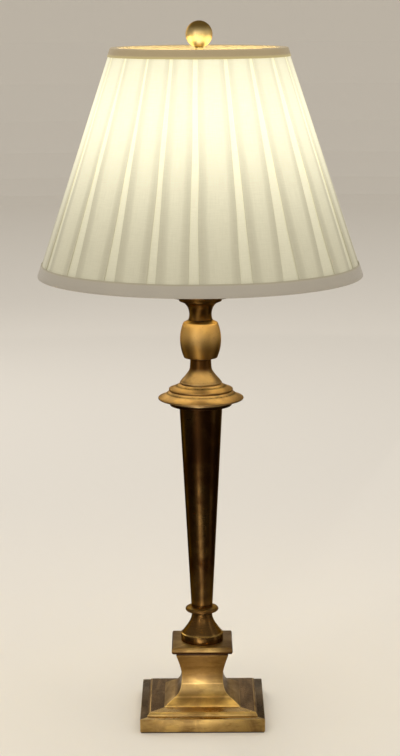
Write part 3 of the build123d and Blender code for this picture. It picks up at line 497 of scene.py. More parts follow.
def tape_cloth(name, free_glow, tint):
    """Woven tape with fine ribs across it, and a little painted light in the edge that lies on the lit cloth.
    """
    shader = Shader(name)
    shade = settings("lamp_shade")
    across, along = cloth_parts(shader)
    ribs = abs((across * RIBS_PER_METRE * math.pi).sine())
    fibres = shader.noise(shader.joined(across, along * 4.0, 0.0), 700, 3, 0.6)
    clouds = shader.noise(shader.joined(across, along, 0.0), 22, 3, 0.5)
    share = (ribs * 0.35 + (fibres - 0.5) * 0.5 + (clouds - 0.5) * 0.5).clamped()
    surface = shader.blend(0.5, shader.blend(share, shade.tape, PALE_RIB), tint)
    free = shader.smooth(along, 0.6 * MM, 3.4 * MM, free_glow, 0.12 * free_glow)
    glow = shader.dimmed(TAPE_GLOW, free)
    surface = shader.blend(shader.smooth(along, 0.6 * MM, 2.2 * MM, 0.35, 0.0), surface, TAPE_SHADOW)
    return shader.finished(
        base_color=surface, roughness=0.8, sheen_weight=0.2, sheen_roughness=0.4, emission_color=glow,
        emission_strength=1.0, normal=shader.bump(ribs * 0.7 + fibres * 0.5, 0.1 * MM, 0.6),
    )


def bulb_glass(name):
    """Glass with a white coat inside, lit."""
    shader = Shader(name)
    bulb = settings("lamp_bulb")
    vector, _, _, z = shader.place()
    low, high, _ = seat("bulb_glass")
    fade = shader.smooth(z, low, low + (high - low) * 0.45, 0.35, 1.0)
    coat = shader.smooth(shader.noise(vector, 240, 3, 0.5), 0.4, 0.7) * 0.3
    return shader.finished(
        base_color=shader.blend(coat, tone(246, 242, 232), tone(232, 226, 210)), roughness=0.22,
        coat_weight=0.6, coat_roughness=0.05, emission_color=shader.dimmed(bulb.colour, fade),
        emission_strength=bulb.strength,
    )


# Shapes
ROUND_STEPS = 128
SHARP_ANGLE = math.radians(34)


def arc(start, middle, end, steps=8):
    """Points on the circle through three points of an outline, the first and last included."""
    (ax, ay), (bx, by), (cx, cy) = start, middle, end
    turn = 2 * (ax * (by - cy) + bx * (cy - ay) + cx * (ay - by))
    a2, b2, c2 = ax * ax + ay * ay, bx * bx + by * by, cx * cx + cy * cy
    ox = (a2 * (by - cy) + b2 * (cy - ay) + c2 * (ay - by)) / turn
    oy = (a2 * (cx - bx) + b2 * (ax - cx) + c2 * (bx - ax)) / turn
    radius = math.hypot(ax - ox, ay - oy)
    first, half, last = [math.atan2(y - oy, x - ox) for x, y in (start, middle, end)]
    sweep = (last - first) % FULL_TURN
    if (half - first) % FULL_TURN > sweep:
        sweep -= FULL_TURN
    turns = [first + sweep * step / steps for step in range(steps + 1)]
    return [(ox + radius * math.cos(t), oy + radius * math.sin(t)) for t in turns]


def course(start, end, shares, steps=6):
    """Points on a smooth curve from start to end through points given as shares of the way across and up."""
    (sx, sy), (ex, ey) = start, end
    points = [start, *[(sx + (ex - sx) * across, sy + (ey - sy) * up) for across, up in shares], end]
    ghosts = [points[0], *points, points[-1]]
    line = []
    for a, b, c, d in zip(ghosts, ghosts[1:], ghosts[2:], ghosts[3:]):
        for step in range(steps):
            t = step / steps
            line.append(tuple(
                0.5 * (
                    2 * q + (r - p) * t + (2 * p - 5 * q + 4 * r - s) * t ** 2
                    + (3 * q - p - 3 * r + s) * t ** 3
                )
                for p, q, r, s in zip(a, b, c, d)
            ))
    return [*line, end]


def sweep(form, outline, steps, start=0.0, angle=FULL_TURN, closed=False):
    """Sweeps an outline of (radius, height) points about the stem's axis, from a start counted from +X."""
    points = [form.verts.new((radius, 0, height)) for radius, height in outline]
    following = [*points[1:], points[0]] if closed else points[1:]
    lines = [form.edges.new(pair) for pair in zip(points, following)]
    bmesh.ops.rotate(form, verts=points, cent=(0, 0, 0), matrix=Matrix.Rotation(start, 3, "Z"))
    bmesh.ops.spin(
        form, geom=[*points, *lines], cent=(0, 0, 0), axis=(0, 0, 1), angle=angle, steps=steps,
        use_merge=angle == FULL_TURN,
    )


def spun(outline, ease, steps=ROUND_STEPS):
    """A solid from a closed outline that is swept all round, with its sharp edges eased."""
    form = bmesh.new()
    sweep(form, outline, steps, closed=True)
    bmesh.ops.remove_doubles(form, verts=form.verts, dist=0.002 * MM)
    bmesh.ops.dissolve_degenerate(form, edges=form.edges, dist=0.001 * MM)
    bmesh.ops.recalc_face_normals(form, faces=form.faces)
    ease_edges(form, ease)
    return form


def ease_edges(form, ease):
    """Rounds the sharp edges."""
    sharp = [e for e in form.edges if e.is_manifold and e.calc_face_angle() > SHARP_ANGLE]
    if ease and sharp:
        bmesh.ops.bevel(
            form, geom=sharp, offset=ease, segments=2, profile=0.5, affect="EDGES", material=-1,
            clamp_overlap=True,
        )


def squared(profile, ease):
    """A square form through (half width, height) points, bottom first: each ring is extruded and scaled."""
    form = bmesh.new()
    half, height = profile[0]
    bmesh.ops.create_circle(form, segments=4, radius=half * math.sqrt(2))
    bmesh.ops.rotate(form, verts=form.verts, cent=(0, 0, 0), matrix=Matrix.Rotation(math.pi / 4, 3, "Z"))
    bmesh.ops.translate(form, verts=form.verts, vec=(0, 0, height))
    bmesh.ops.contextual_create(form, geom=form.edges[:])
    ring = form.edges[:]
    for (before, low), (after, high) in zip(profile, profile[1:]):
        grown = bmesh.ops.extrude_edge_only(form, edges=ring)["geom"]
        corners = [g for g in grown if isinstance(g, bmesh.types.BMVert)]
        share = after / before
        bmesh.ops.scale(form, verts=corners, vec=(share, share, 1))
        bmesh.ops.translate(form, verts=corners, vec=(0, 0, high - low))
        ring = [g for g in grown if isinstance(g, bmesh.types.BMEdge) and all(v in corners for v in g.verts)]
    bmesh.ops.contextual_create(form, geom=ring)
    bmesh.ops.recalc_face_normals(form, faces=form.faces)
    ease_edges(form, ease)
    return form


def wrapped(columns, rows, spot):
    """A sheet from a grid whose points a function of column and row puts in place round the stem.

    The function gives the place, the spot in the UV map, in metres, and how single the cloth is there.
    """
    form = bmesh.new()
    bmesh.ops.create_grid(form, x_segments=columns, y_segments=rows, size=1)
    uv = form.loops.layers.uv.new("cloth")
    single = form.verts.layers.float.new("single_share")
    places = {v: (round((v.co.x + 1) / 2 * columns), round((v.co.y + 1) / 2 * rows)) for v in form.verts}
    found = {place: spot(*place) for place in places.values()}
    for face in form.faces:
        for loop in face.loops:
            loop[uv].uv = found[places[loop.vert]][1]
    for vert, place in places.items():
        vert.co, vert[single] = found[place][0], found[place][2]
    bmesh.ops.remove_doubles(form, verts=form.verts, dist=0.001 * MM)
    return form


def placed(name, data):
    """Puts a new object in the scene."""
    made = bpy.data.objects.new(name, data)
    bpy.context.scene.collection.objects.link(made)
    return made


def formed(name, form, material):
    """Puts a form in the scene as an object with a material."""
    mesh = bpy.data.meshes.new(name)
    form.to_mesh(mesh)
    form.free()
    mesh.materials.append(material)
    return placed(name, mesh)


def piece(name, form, body, material, node, angle=SHARP_ANGLE):
    """Makes a piece of a form: its mesh, finish and body, and hides the node of the frame that it stands for.
    """
    made = formed(name, form, material)
    made.data.polygons.foreach_set("use_smooth", [True] * len(made.data.polygons))
    made.data.set_sharp_from_angle(angle=angle)
    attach(made, body)
    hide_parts(node)
    return made


def thicken(sheet, thickness):
    """Gives a sheet its thickness, half on each side."""
    solid = sheet.modifiers.new("thickness", "SOLIDIFY")
    solid.thickness, solid.offset = thickness, 0.0


def finish_node(node, material):
    """Gives a node of the frame its material."""
    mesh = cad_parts[node].data
    mesh.materials.clear()
    mesh.materials.append(material)


# Measures of the turned pieces and the bulb, and how far the edges of the stem's pieces are eased
PIPE_HOLE = 5.2 * MM
DISC_EASE = 0.5 * MM
BELL_FOOT_BAND = 9.2 * MM
BEAD_HEIGHT = 7.2 * MM
DISC_HEIGHT = 13.2 * MM
RING_LIFT = 2.0 * MM
RIM_LEVEL = 5.2 * MM
BELL_FOOT_SHARES = ((0.12, 0.10), (0.37, 0.26), (0.61, 0.43), (0.83, 0.62), (0.96, 0.81))
BELL_NECK_SHARES = ((0.11, 0.09), (0.38, 0.24), (0.62, 0.39), (0.925, 0.64))
CUP_SHARES = ((0.07, 0.30), (0.20, 0.55), (0.50, 0.82))
STEM_EASES = {
    "foot_bell": 0.2 * MM, "bead_ring": 0.2 * MM, "column": 0.3 * MM, "under_ring": 0.6 * MM,
    "drip_disc": 0.2 * MM, "tier_disc": 0.4 * MM, "bell_neck": 0.2 * MM, "barrel": 0.15 * MM,
    "candle_cup": 0.35 * MM, "drip_pan": 0.2 * MM,
}
BULB_SHARES = ((0.02, 0.12), (0.2, 0.33), (0.66, 0.62), (0.94, 0.86))
FINIAL_BASE_SHARES = ((0.62, 0.16), (0.93, 0.50))
TUBE = "column"


def shade_slope():
    """How much the cone's radius shrinks for each metre of height, from the reach of its two tapes."""
    low, _, wide = seat("shade_bottom_trim")
    high, _, narrow = seat("shade_top_trim")
    return (wide - narrow) / (high - low)


def cone_radius(level, depth):
    """The shade's radius at a height, a depth under the outside of its tapes."""
    low, _, wide = seat("shade_bottom_trim")
    return wide - (level - low) * shade_slope() - depth * math.hypot(1, shade_slope())


def on_cone(angle, level, depth, slack=0.0):
    """A point of the shade at an angle from the front, a height and a depth under its tapes' outside."""
    radius = cone_radius(level, depth) + slack
    return radius * math.sin(angle), -radius * math.cos(angle), level


def lengths(points):
    """The length along a line of points, from the first to each of them."""
    total = [0.0]
    for before, after in zip(points, points[1:]):
        total.append(total[-1] + math.dist(before, after))
    return total


def bulb_level():
    """The height of the middle of the bulb's round part."""
    _, high, reach = seat("bulb_glass")
    return high - reach


class Step:
    """A step of the dressing: an operator that is named after its class and runs its build."""

    def __init_subclass__(cls):
        name = cls.__name__.removeprefix("LAMP_OT_")
        cls.bl_idname, cls.bl_label = "lamp." + name, name.replace("_", " ").capitalize()

    def execute(self, context):
        self.build()
        return {"FINISHED"}


# Stage
LAMP_WHITE = (1.0, 0.975, 0.945)


class LAMP_OT_stage(Step, bpy.types.Operator):
    """Sets the floor, the lights and the camera"""

    def build(self):
        stage = settings("lamp_stage")
        self.floor(stage)
        self.dark_cards()
        self.lights()
        self.camera(stage)

    def floor(self, stage):
        """A round floor that rises into a wall far behind the lamp."""
        form = bmesh.new()
        sweep(form, [(0, 0), *arc((5.6, 0.0), (6.6, 0.4), (7.0, 1.4), 10), (7.0, 3.0)], 96)
        bmesh.ops.remove_doubles(form, verts=form.verts, dist=0.01 * MM)
        bmesh.ops.recalc_face_normals(form, faces=form.faces)
        formed("floor", form, Shader("floor").finished(base_color=stage.floor, roughness=0.9))

    def lights(self):
        """Soft lamps round the object, and a plain sky."""
        ceiling = self.soft_lamp("ceiling", (0.0, 0.6, 4.4), (0, 0.6, 0), (6.0, 6.0), 120)
        ceiling.visible_glossy = False
        self.soft_lamp("front", (-0.5, -3.2, 1.7), (0, 0, 0.35), (5.5, 1.6), 26)
        self.soft_lamp("side", (2.2, -0.5, 1.2), (0, 0, 0.4), (0.4, 1.2), 1.5)
        self.soft_lamp("back", (-1.1, 2.1, 1.5), (0, 0, 0.4), (1.0, 1.0), 7)
        upright = self.soft_lamp("upright_strip", (-0.72, -1.3, 0.60), (0, 0, 0.40), (0.16, 0.30), 1.1)
        place, target = (-0.22, -0.59, 0.004), (-0.22, -0.589, 1.0)
        lying = self.soft_lamp("lying_strip", place, target, (0.11, 1.0), 2.2, math.radians(30))
        upright.visible_diffuse = lying.visible_diffuse = False
        world = bpy.data.worlds.new("sky")
        world.use_nodes = True
        sky = world.node_tree.nodes["Background"].inputs
        sky["Color"].default_value, sky["Strength"].default_value = (*tone(214, 210, 204), 1), 0.6
        bpy.context.scene.world = world

    def dark_cards(self):
        """Cards on the floor that only polished metal sees, with gaps between them for its highlights."""
        form = bmesh.new()
        for start, end in ((-6, 66), (84, 150), (166, 232), (252, 316)):
            outline = [(radius, 2 * MM) for radius in (0.30, 1.0, 2.6)]
            sweep(form, outline, 16, math.radians(start - 90), math.radians(end - start))
        material = Shader("dark_cards").finished(base_color=tone(40, 34, 28), roughness=1.0)
        cards = formed("dark_cards", form, material)
        cards.visible_camera = cards.visible_shadow = False
        cards.visible_diffuse = cards.visible_transmission = False

    def soft_lamp(self, name, place, target, size, power, turn=0.0):
        """An area lamp that faces a target, turned in its own plane."""
        light = bpy.data.lights.new(name, "AREA")
        light.shape, light.size, light.size_y = "RECTANGLE", *size
        light.energy, light.color = power, LAMP_WHITE
        lamp = placed(name, light)
        lamp.location = place
        facing = (Vector(target) - Vector(place)).to_track_quat("-Z", "Y").to_matrix()
        lamp.rotation_euler = (facing @ Matrix.Rotation(turn, 3, "Z")).to_euler()
        lamp.visible_camera = False
        return lamp

    def camera(self, stage):
        data = bpy.data.cameras.new("camera")
        data.lens, data.sensor_width, data.sensor_fit = stage.camera_lens, 36.0, "AUTO"
        camera = placed("camera", data)
        camera.location = (0, -stage.camera_distance, stage.camera_height)
        heading = Matrix.Rotation(stage.camera_heading, 3, "Z")
        tilt = Matrix.Rotation(math.pi / 2 - stage.camera_tilt, 3, "X")
        camera.rotation_euler = (heading @ tilt @ Matrix.Rotation(stage.camera_roll, 3, "Z")).to_euler()
        bpy.context.scene.camera = camera
        bpy.context.scene.view_settings.view_transform = "Standard"


class LAMP_OT_turned_stem(Step, bpy.types.Operator):
    """Turns the stem's pieces, whose outlines go from the foot outwards and up"""

    def build(self):
        patina, finishes = settings("lamp_brass").patina, self.finishes()
        for name, ease in STEM_EASES.items():
            finish = {"colour": patina, **finishes.get(name, {})}
            material = turned_brass(name, dirty_levels=seat(name)[:2], **finish)
            outline = getattr(self, name)()
            if name != TUBE:
                outline = [(PIPE_HOLE, outline[0][1]), *outline, (PIPE_HOLE, outline[-1][1])]
            piece(name + "_turned", spun(outline, ease), "lamp_body", material, name)

    def finishes(self):
        """How some pieces' brass differs from the dark brown of the others: arguments of turned_brass."""
        foot, top, rim = seat("bead_ring")[0] + BEAD_HEIGHT, seat("column")[1], seat("drip_disc")[2]
        belly, neck = sum(seat("barrel")[:2]) / 2, seat("bell_neck")[0] + 12 * MM
        disc = {"polish": 0.4, "mottle": 0.2, "brushed": 0.5}
        cup = {"colour": tone(84, 57, 23), "mottle": 0.08}
        return {
            # The discs grow darker towards their outer edges: painted shade
            "drip_disc": {
                **disc, "colour": tone(190, 158, 108),
                "change": (tone(96, 66, 34), "out", rim - 9 * MM, rim + 7 * MM),
            },
            "tier_disc": {
                **disc, "colour": tone(188, 156, 106),
                "change": (tone(120, 88, 46), "out", rim - 22 * MM, rim - 4 * MM),
            },
            # The barrel darkens over its lower half: painted shade
            "barrel": {
                "colour": tone(200, 162, 100), "polish": 0.38, "mottle": 0.2, "brushed": 0.2,
                "change": (tone(130, 96, 46), "up", belly + 8 * MM, belly - 12 * MM),
            },
            "bell_neck": {
                "colour": tone(150, 124, 86), "polish": 0.28, "mottle": 0.15,
                "change": (tone(84, 55, 24), "up", neck, neck + 9 * MM),
            },
            "candle_cup": cup,
            "drip_pan": cup,
            "foot_bell": {
                "colour": tone(94, 66, 33), "polish": 0.22,
                "wear_and_highlight_levels": (seat("foot_bell")[0] + BELL_FOOT_BAND,),
            },
            "bead_ring": {"colour": tone(98, 70, 36), "polish": 0.28, "mottle": 0.1, "wear_and_highlight_levels": (foot,)},
            # The column is lighter brown over its lowest 14 mm; its bright line at the rolled rim is a
            # painted highlight
            "column": {
                "change": (tone(104, 75, 38), "up", foot + 14 * MM, foot), "wear_and_highlight_levels": (top - 1 * MM,),
            },
        }

    def foot_bell(self):
        low, high, reach = seat("foot_bell")
        band = low + BELL_FOOT_BAND
        start = (reach - 1.4 * MM, band + 0.1 * MM)
        return [
            (reach - DISC_EASE, low), (reach, low + DISC_EASE), (reach, band - 0.3 * MM),
            (reach - 1.3 * MM, band), *course(start, (11.4 * MM, high), BELL_FOOT_SHARES),
        ]

    def bead_ring(self):
        low, _, reach = seat("bead_ring")
        high = low + BEAD_HEIGHT
        middle = (reach, (low + high + 2 * MM) / 2)
        return [
            (11.8 * MM, low), (11.8 * MM, low + 1.3 * MM), (15.2 * MM, low + 1.7 * MM),
            *arc((16.2 * MM, low + 2.2 * MM), middle, (16.4 * MM, high - 0.4 * MM), 10), (14.6 * MM, high),
        ]

    def column(self):
        """The column with a narrow rolled rim under the ring."""
        _, high, reach = seat("column")
        low = seat("bead_ring")[0] + BEAD_HEIGHT
        foot, wall, rim, lap = reach * 0.49, 1.5 * MM, 2.0 * MM, 0.55 * MM
        slope = (reach - foot) / (high - low)
        neck = reach - rim * slope
        groove = neck - 0.35 * MM
        return [
            (foot - wall, low), (foot, low), (groove, high - rim - 0.8 * MM), (groove, high - rim),
            *arc((neck, high - rim), (reach + lap, high - rim / 2), (reach, high), 6), (reach - wall, high),
        ]

    def under_ring(self):
        _, high, reach = seat("under_ring")
        low = seat("column")[1]
        return [(reach, low), (reach, high)]

    def drip_disc(self):
        low, _, reach = seat("drip_disc")
        high = low + DISC_HEIGHT
        rim, ease, ring = low + RIM_LEVEL, 1.3 * MM, seat("under_ring")[2]
        edge, inner, top = reach - ease, seat("tier_disc")[2], rim + ease
        middle = (edge + (inner - edge) * 0.55, top + (high - rim - ease) * 0.4)
        return [
            (ring, low), (ring, rim - ease), *arc((edge, rim - ease), (reach, rim), (edge, top)),
            *arc((edge, top), middle, (inner, high), 14)[1:],
        ]

    def tier_disc(self):
        """The tier with an undercut edge, closing the joint between the drip disc and the neck."""
        _, high, reach = seat("tier_disc")
        low, high = seat("drip_disc")[0] + DISC_HEIGHT, high + RING_LIFT
        groove, shoulder, inner = 0.7 * MM, low + 2.6 * MM, seat("bell_neck")[2]
        middle = (reach + (inner - reach) * 0.5, shoulder + (high - shoulder) * 0.44)
        return [
            (reach - groove, low), (reach - groove, low + groove), (reach, low + 1.6 * groove),
            *arc((reach, shoulder), middle, (inner, high), 12),
        ]

    def bell_neck(self):
        low, high, reach = seat("bell_neck")
        low += RING_LIFT
        edge, foot, neck = reach - DISC_EASE, low + 2.4 * MM, 11.6 * MM
        return [
            *arc((edge, low), (reach, (low + foot) / 2), (edge, foot)),
            *course((edge - 0.3 * MM, foot), (neck, high - 4 * MM), BELL_NECK_SHARES), (neck, high),
        ]

    def barrel(self):
        low, high, reach = seat("barrel")
        shoulder, lift = high - 2.9 * MM, 1.3 * MM
        return [
            (12.5 * MM, low), (18.3 * MM, low + lift),
            *arc((18.3 * MM, low + lift), (reach, low + 21 * MM), (18.8 * MM, shoulder), 20)[1:],
            (17.9 * MM, shoulder + 0.25 * MM), (13.2 * MM, high),
        ]

    def candle_cup(self):
        low, high, reach = seat("candle_cup")
        foot, neck, level = 13.4 * MM, 12.3 * MM, low + 7 * MM
        middle = ((foot + neck) / 2 - 0.25 * MM, low + 3 * MM)
        return [
            *arc((foot, low), middle, (neck, level)),
            *course((neck, level), (reach, high - 4.6 * MM), CUP_SHARES)[1:], (reach, high),
        ]

    def drip_pan(self):
        low, high, reach = seat("drip_pan")
        rise, floor = 1.4 * MM, high - 1.4 * MM
        edge = (reach - rise, low + DISC_EASE)
        return [
            (24 * MM, low), *arc(edge, (reach, (low + high) / 2), (reach - rise, high)), (32 * MM, floor),
        ]


class LAMP_OT_square_foot(Step, bpy.types.Operator):
    """Casts the plinth, the pedestal and its cap"""

    def build(self):
        low, high, _ = seat("pedestal")
        # Heights of the painted highlight lines on the front: the arris, the waist and the lip
        wear_and_highlight = [low + level for level in (PEDESTAL_ARRIS[1], PEDESTAL_WAIST[1], PEDESTAL_LIP[1] + 0.4 * MM)]
        material = cast_brass("foot_brass", settings("lamp_brass").aged, wear_and_highlight, (low, high))
        for outline, ease, node in (
            (self.pedestal, 0.35 * MM, "pedestal"), (self.cap, 0.35 * MM, "pedestal_cap"),
            (self.plinth, 0.7 * MM, "base_plinth"),
        ):
            name = node.split("_")[-1] + "_cast"
            piece(name, squared(outline(), ease), "lamp_body", material, node)

    def plinth(self):
        """The plinth with its hollow underside."""
        low, high, reach = seat("base_plinth")
        inside = reach - PLINTH_WALL
        return [(inside, high - PLINTH_WALL), (inside, low), (reach, low), (reach, high)]

    def pedestal(self):
        foot, top, _ = seat("pedestal")
        measures = (PEDESTAL_LIP, PEDESTAL_ARRIS, PEDESTAL_WAIST, PEDESTAL_NECK)
        lip, arris, waist, neck = [(half, foot + level) for half, level in measures]
        middle = (lip[0] + (PEDESTAL_HALF - lip[0]) * DIAGONAL, foot + (lip[1] - foot) * DIAGONAL)
        toe = (PEDESTAL_TOE_HALF, lip[1])
        return [
            *arc((PEDESTAL_HALF, foot), middle, lip, 8), toe, *course(toe, arris, OVOLO_SHARES)[1:],
            *course(arris, waist, SCOTIA_LOW_SHARES)[1:], *course(waist, neck, SCOTIA_HIGH_SHARES)[1:],
            (neck[0], top),
        ]

    def cap(self):
        low, high, reach = seat("pedestal_cap")
        end = reach - CAP_EDGE_BULGE
        return arc((end, low), (reach, (low + high) / 2), (end, high), 8)


class LAMP_OT_finial(Step, bpy.types.Operator):
    """Turns the ball finial and its base"""

    def build(self):
        low, seat_level, _ = seat("finial_base")
        _, top, reach = seat("finial_ball")
        centre = top - reach
        # The finial's pale brass is the bulb's light painted on from below, and the ball's darker top is
        # painted shade
        material = turned_brass(
            "finial_brass", tone(228, 204, 146), (seat_level,), polish=0.34, mottle=0.1, brushed=0.3,
            change=(tone(138, 112, 60), "up", centre + 1 * MM, centre + 10 * MM),
        )
        neck = math.sqrt(reach ** 2 - (centre - seat_level) ** 2)
        ball = [*arc((neck, seat_level), (reach, centre), (0, top), 40), (0, seat_level)]
        piece("finial_ball_turned", spun(ball, 0.1 * MM), "finial", material, "finial_ball")
        hole, edge, flange = 3.15 * MM, 9 * MM, low + 2.6 * MM
        base = [
            (hole, low), (edge, low), (edge, flange),
            *course((edge - 0.6 * MM, flange), (neck, seat_level), FINIAL_BASE_SHARES), (hole, seat_level),
        ]
        piece("finial_base_turned", spun(base, 0.25 * MM), "finial", material, "finial_base")


# Measures of the shade's cloths
TAPE_THICKNESS = 0.7 * MM
COVER_DEPTH = 0.9 * MM
CLOTH_THICKNESS = 0.35 * MM
LINING_DEPTH = 3.35 * MM
LINING_THICKNESS = 0.5 * MM
LINING_SLACK = 0.12 * MM
LINING_WAVES = 36
LINING_COLUMNS, LINING_ROWS = 144, 12
TAPE_COLUMNS = 240
TUCK_DEPTH = 7.35 * MM
TUCK_HEIGHT = 6.0 * MM
COVER_ROWS = 30
FOLDED_ANGLE, BRAIDED_ANGLE = math.radians(70), math.radians(60)
FIRST_PLEAT = -4
FOLD_WIDTH_LEFT = math.radians(3.1)
FOLD_WIDTH_RIGHT = math.radians(2.6)
WIDEST_FOLD_SHARE = 0.36
WIDEST_WANDER, WIDEST_SPREAD = math.radians(0.5), math.radians(0.4)
SINGLE, HIDDEN, TURNED = 1.0, 0.3, 0.1
OVER_THE_FOLD = ((0.45, 0.06), (0.95, 0.3), (1.3, 0.6))
MID_PANEL_DEPTH, MID_PANEL_SINGLE = 0.3 * MM, 0.68
TAPE_WAVE, TAPE_RIPPLE = 0.25 * MM, 0.08 * MM
STRIPE_SHIFT_SHARES = (-0.14, -0.01, 0.08, 0.01, -0.13, -0.06, -0.08, 0.01, 0.05, -0.04, 0.06,
                       0.10, -0.05, -0.09, 0.03, 0.07, -0.06, 0.02, 0.09, -0.03, -0.08)
STRIPE_BOTTOM_SHARES = (0.26, 0.32, 0.27, 0.19, 0.22, 0.27, 0.41, 0.41, 0.26, 0.30, 0.24,
                        0.22, 0.33, 0.28, 0.20, 0.26, 0.36, 0.25, 0.22, 0.31, 0.27)
STRIPE_TOP_SHARES = (0.12, 0.10, 0.08, 0.12, 0.16, 0.13, 0.13, 0.17, 0.12, 0.14, 0.11,
                     0.10, 0.15, 0.13, 0.09, 0.12, 0.16, 0.12, 0.10, 0.14, 0.12)


class LAMP_OT_shade_cover(Step, bpy.types.Operator):
    """Folds the shade's cloth into box pleats"""

    def build(self):
        shade = settings("lamp_shade")
        self.low, self.high, _ = seat("shade_cover")
        self.outer = COVER_DEPTH + CLOTH_THICKNESS / 2
        self.inner = self.outer + shade.pleat_depth
        sections = [self.section(shade, row / COVER_ROWS) for row in range(COVER_ROWS + 1)]
        columns = len(sections[0]) - 1
        widths = [self.widths(section, row / COVER_ROWS) for row, section in enumerate(sections)]
        slant = (self.high - self.low) * math.hypot(1, shade_slope())

        def spot(column, row):
            angle, depth, single = sections[row][column]
            place = on_cone(angle, self.level(row / COVER_ROWS), depth)
            return place, (widths[0][column], slant * row / COVER_ROWS), single

        form, material = wrapped(columns, COVER_ROWS, spot), pleated_cloth("pleated_cloth")
        cover = piece("pleated_cover", form, "shade", material, "shade_cover", FOLDED_ANGLE)
        thicken(cover, CLOTH_THICKNESS)
        area = (widths[0][-1] + widths[-1][-1]) / 2 * slant

    def level(self, share):
        return self.low + (self.high - self.low) * share

    def widths(self, section, share):
        """The cloth's length along a section, from its first point to each of the others."""
        return lengths([on_cone(angle, self.level(share), depth)[:2] for angle, depth, _ in section])

    def section(self, shade, share):
        """The folded cloth at a share of the height: angle, depth and how single it is, all round."""
        pitch = FULL_TURN / shade.pleats
        stripes = [self.stripe(count, pitch, share) for count in range(shade.pleats)]
        stripes.append((stripes[0][0] + FULL_TURN, stripes[0][1] + FULL_TURN))
        self.turn = shade.pleat_depth / 4 / cone_radius(self.level(share), self.outer)
        line = []
        for (start, end), (following, _) in zip(stripes, stripes[1:]):
            line += self.pleat(start, end, following)
        first = line[0]
        return [*line, (first[0] + FULL_TURN, first[1], first[2])]

    def stripe(self, count, pitch, share):
        """Start and end of a sunk stripe, which wanders a little on its way up."""
        shares = (STRIPE_SHIFT_SHARES, STRIPE_BOTTOM_SHARES, STRIPE_TOP_SHARES)
        shift, bottom, top = [row[count % len(row)] for row in shares]
        width = (bottom + (top - bottom) * share ** 0.8) * pitch
        held = math.sin(math.pi * share)
        wander = noise.noise(Vector((count * 7.3, share * 2.6, 0.0))) * WIDEST_WANDER * held
        spread = noise.noise(Vector((count * 3.1, share * 3.4, 9.0))) * WIDEST_SPREAD * held
        middle = (FIRST_PLEAT + count + shift) * pitch + wander
        return middle - width / 2 - spread, middle + width / 2 + spread

    def pleat(self, start, end, following):
        """One stripe and the panel beside it, with both folds that lie behind the panel."""
        middle = (self.outer + self.inner) / 2
        span = following - end
        left, right = [min(width, span * WIDEST_FOLD_SHARE) for width in (FOLD_WIDTH_LEFT, FOLD_WIDTH_RIGHT)]
        return [
            *[(angle, self.inner, SINGLE) for angle in (start, (start + end) / 2, end)],
            (end + left * 0.5, self.inner, HIDDEN), (end + left, self.inner, HIDDEN),
            *self.hairpin(end + left, 1, self.inner, middle), (end + left * 0.5, middle, HIDDEN),
            *self.hairpin(end + self.turn, -1, middle, self.outer),
            *[(end + left * share, self.outer, single) for share, single in OVER_THE_FOLD],
            (end + span * 0.5, self.outer - MID_PANEL_DEPTH, MID_PANEL_SINGLE),
            *[(following - right * share, self.outer, single) for share, single in reversed(OVER_THE_FOLD)],
            *self.hairpin(following - self.turn, 1, self.outer, middle),
            (following - right * 0.5, middle, HIDDEN),
            *self.hairpin(following - right, -1, middle, self.inner),
            (following - right * 0.5, self.inner, HIDDEN),
        ]

    def hairpin(self, edge, way, before, after):
        """The turn of a fold, which bulges one way from its edge."""
        middle, half = (before + after) / 2, (before - after) / 2
        turns = [math.pi * step / 4 for step in range(5)]
        return [(edge + way * self.turn * math.sin(t), middle + half * math.cos(t), TURNED) for t in turns]


class LAMP_OT_shade_lining(Step, bpy.types.Operator):
    """Stretches the lining inside the shade's cone"""

    def build(self):
        low, high, _ = seat("shade_lining")
        depth = LINING_DEPTH + LINING_THICKNESS / 2
        sine = shade_slope() / math.hypot(1, shade_slope())
        turn = FULL_TURN * sine
        wide, narrow = [cone_radius(level, depth) / sine for level in (low, high)]

        def spot(column, row):
            share, angle = row / LINING_ROWS, FULL_TURN * column / LINING_COLUMNS
            slack = LINING_SLACK * math.sin(angle * LINING_WAVES) * math.sin(math.pi * share)
            out = (wide + (narrow - wide) * share) / wide
            place = on_cone(angle, low + (high - low) * share, depth, slack)
            return place, (cone_radius(low, depth) * angle * out, (wide - narrow) * share), 1.0

        form, material = wrapped(LINING_COLUMNS, LINING_ROWS, spot), lining_cloth("lining_cloth")
        lining = piece("lining_cloth", form, "shade", material, "shade_lining")
        thicken(lining, LINING_THICKNESS)
        flat = (2 * wide * math.sin(turn / 2), wide - narrow * math.cos(turn / 2))
        turn / 2 * (wide ** 2 - narrow ** 2)


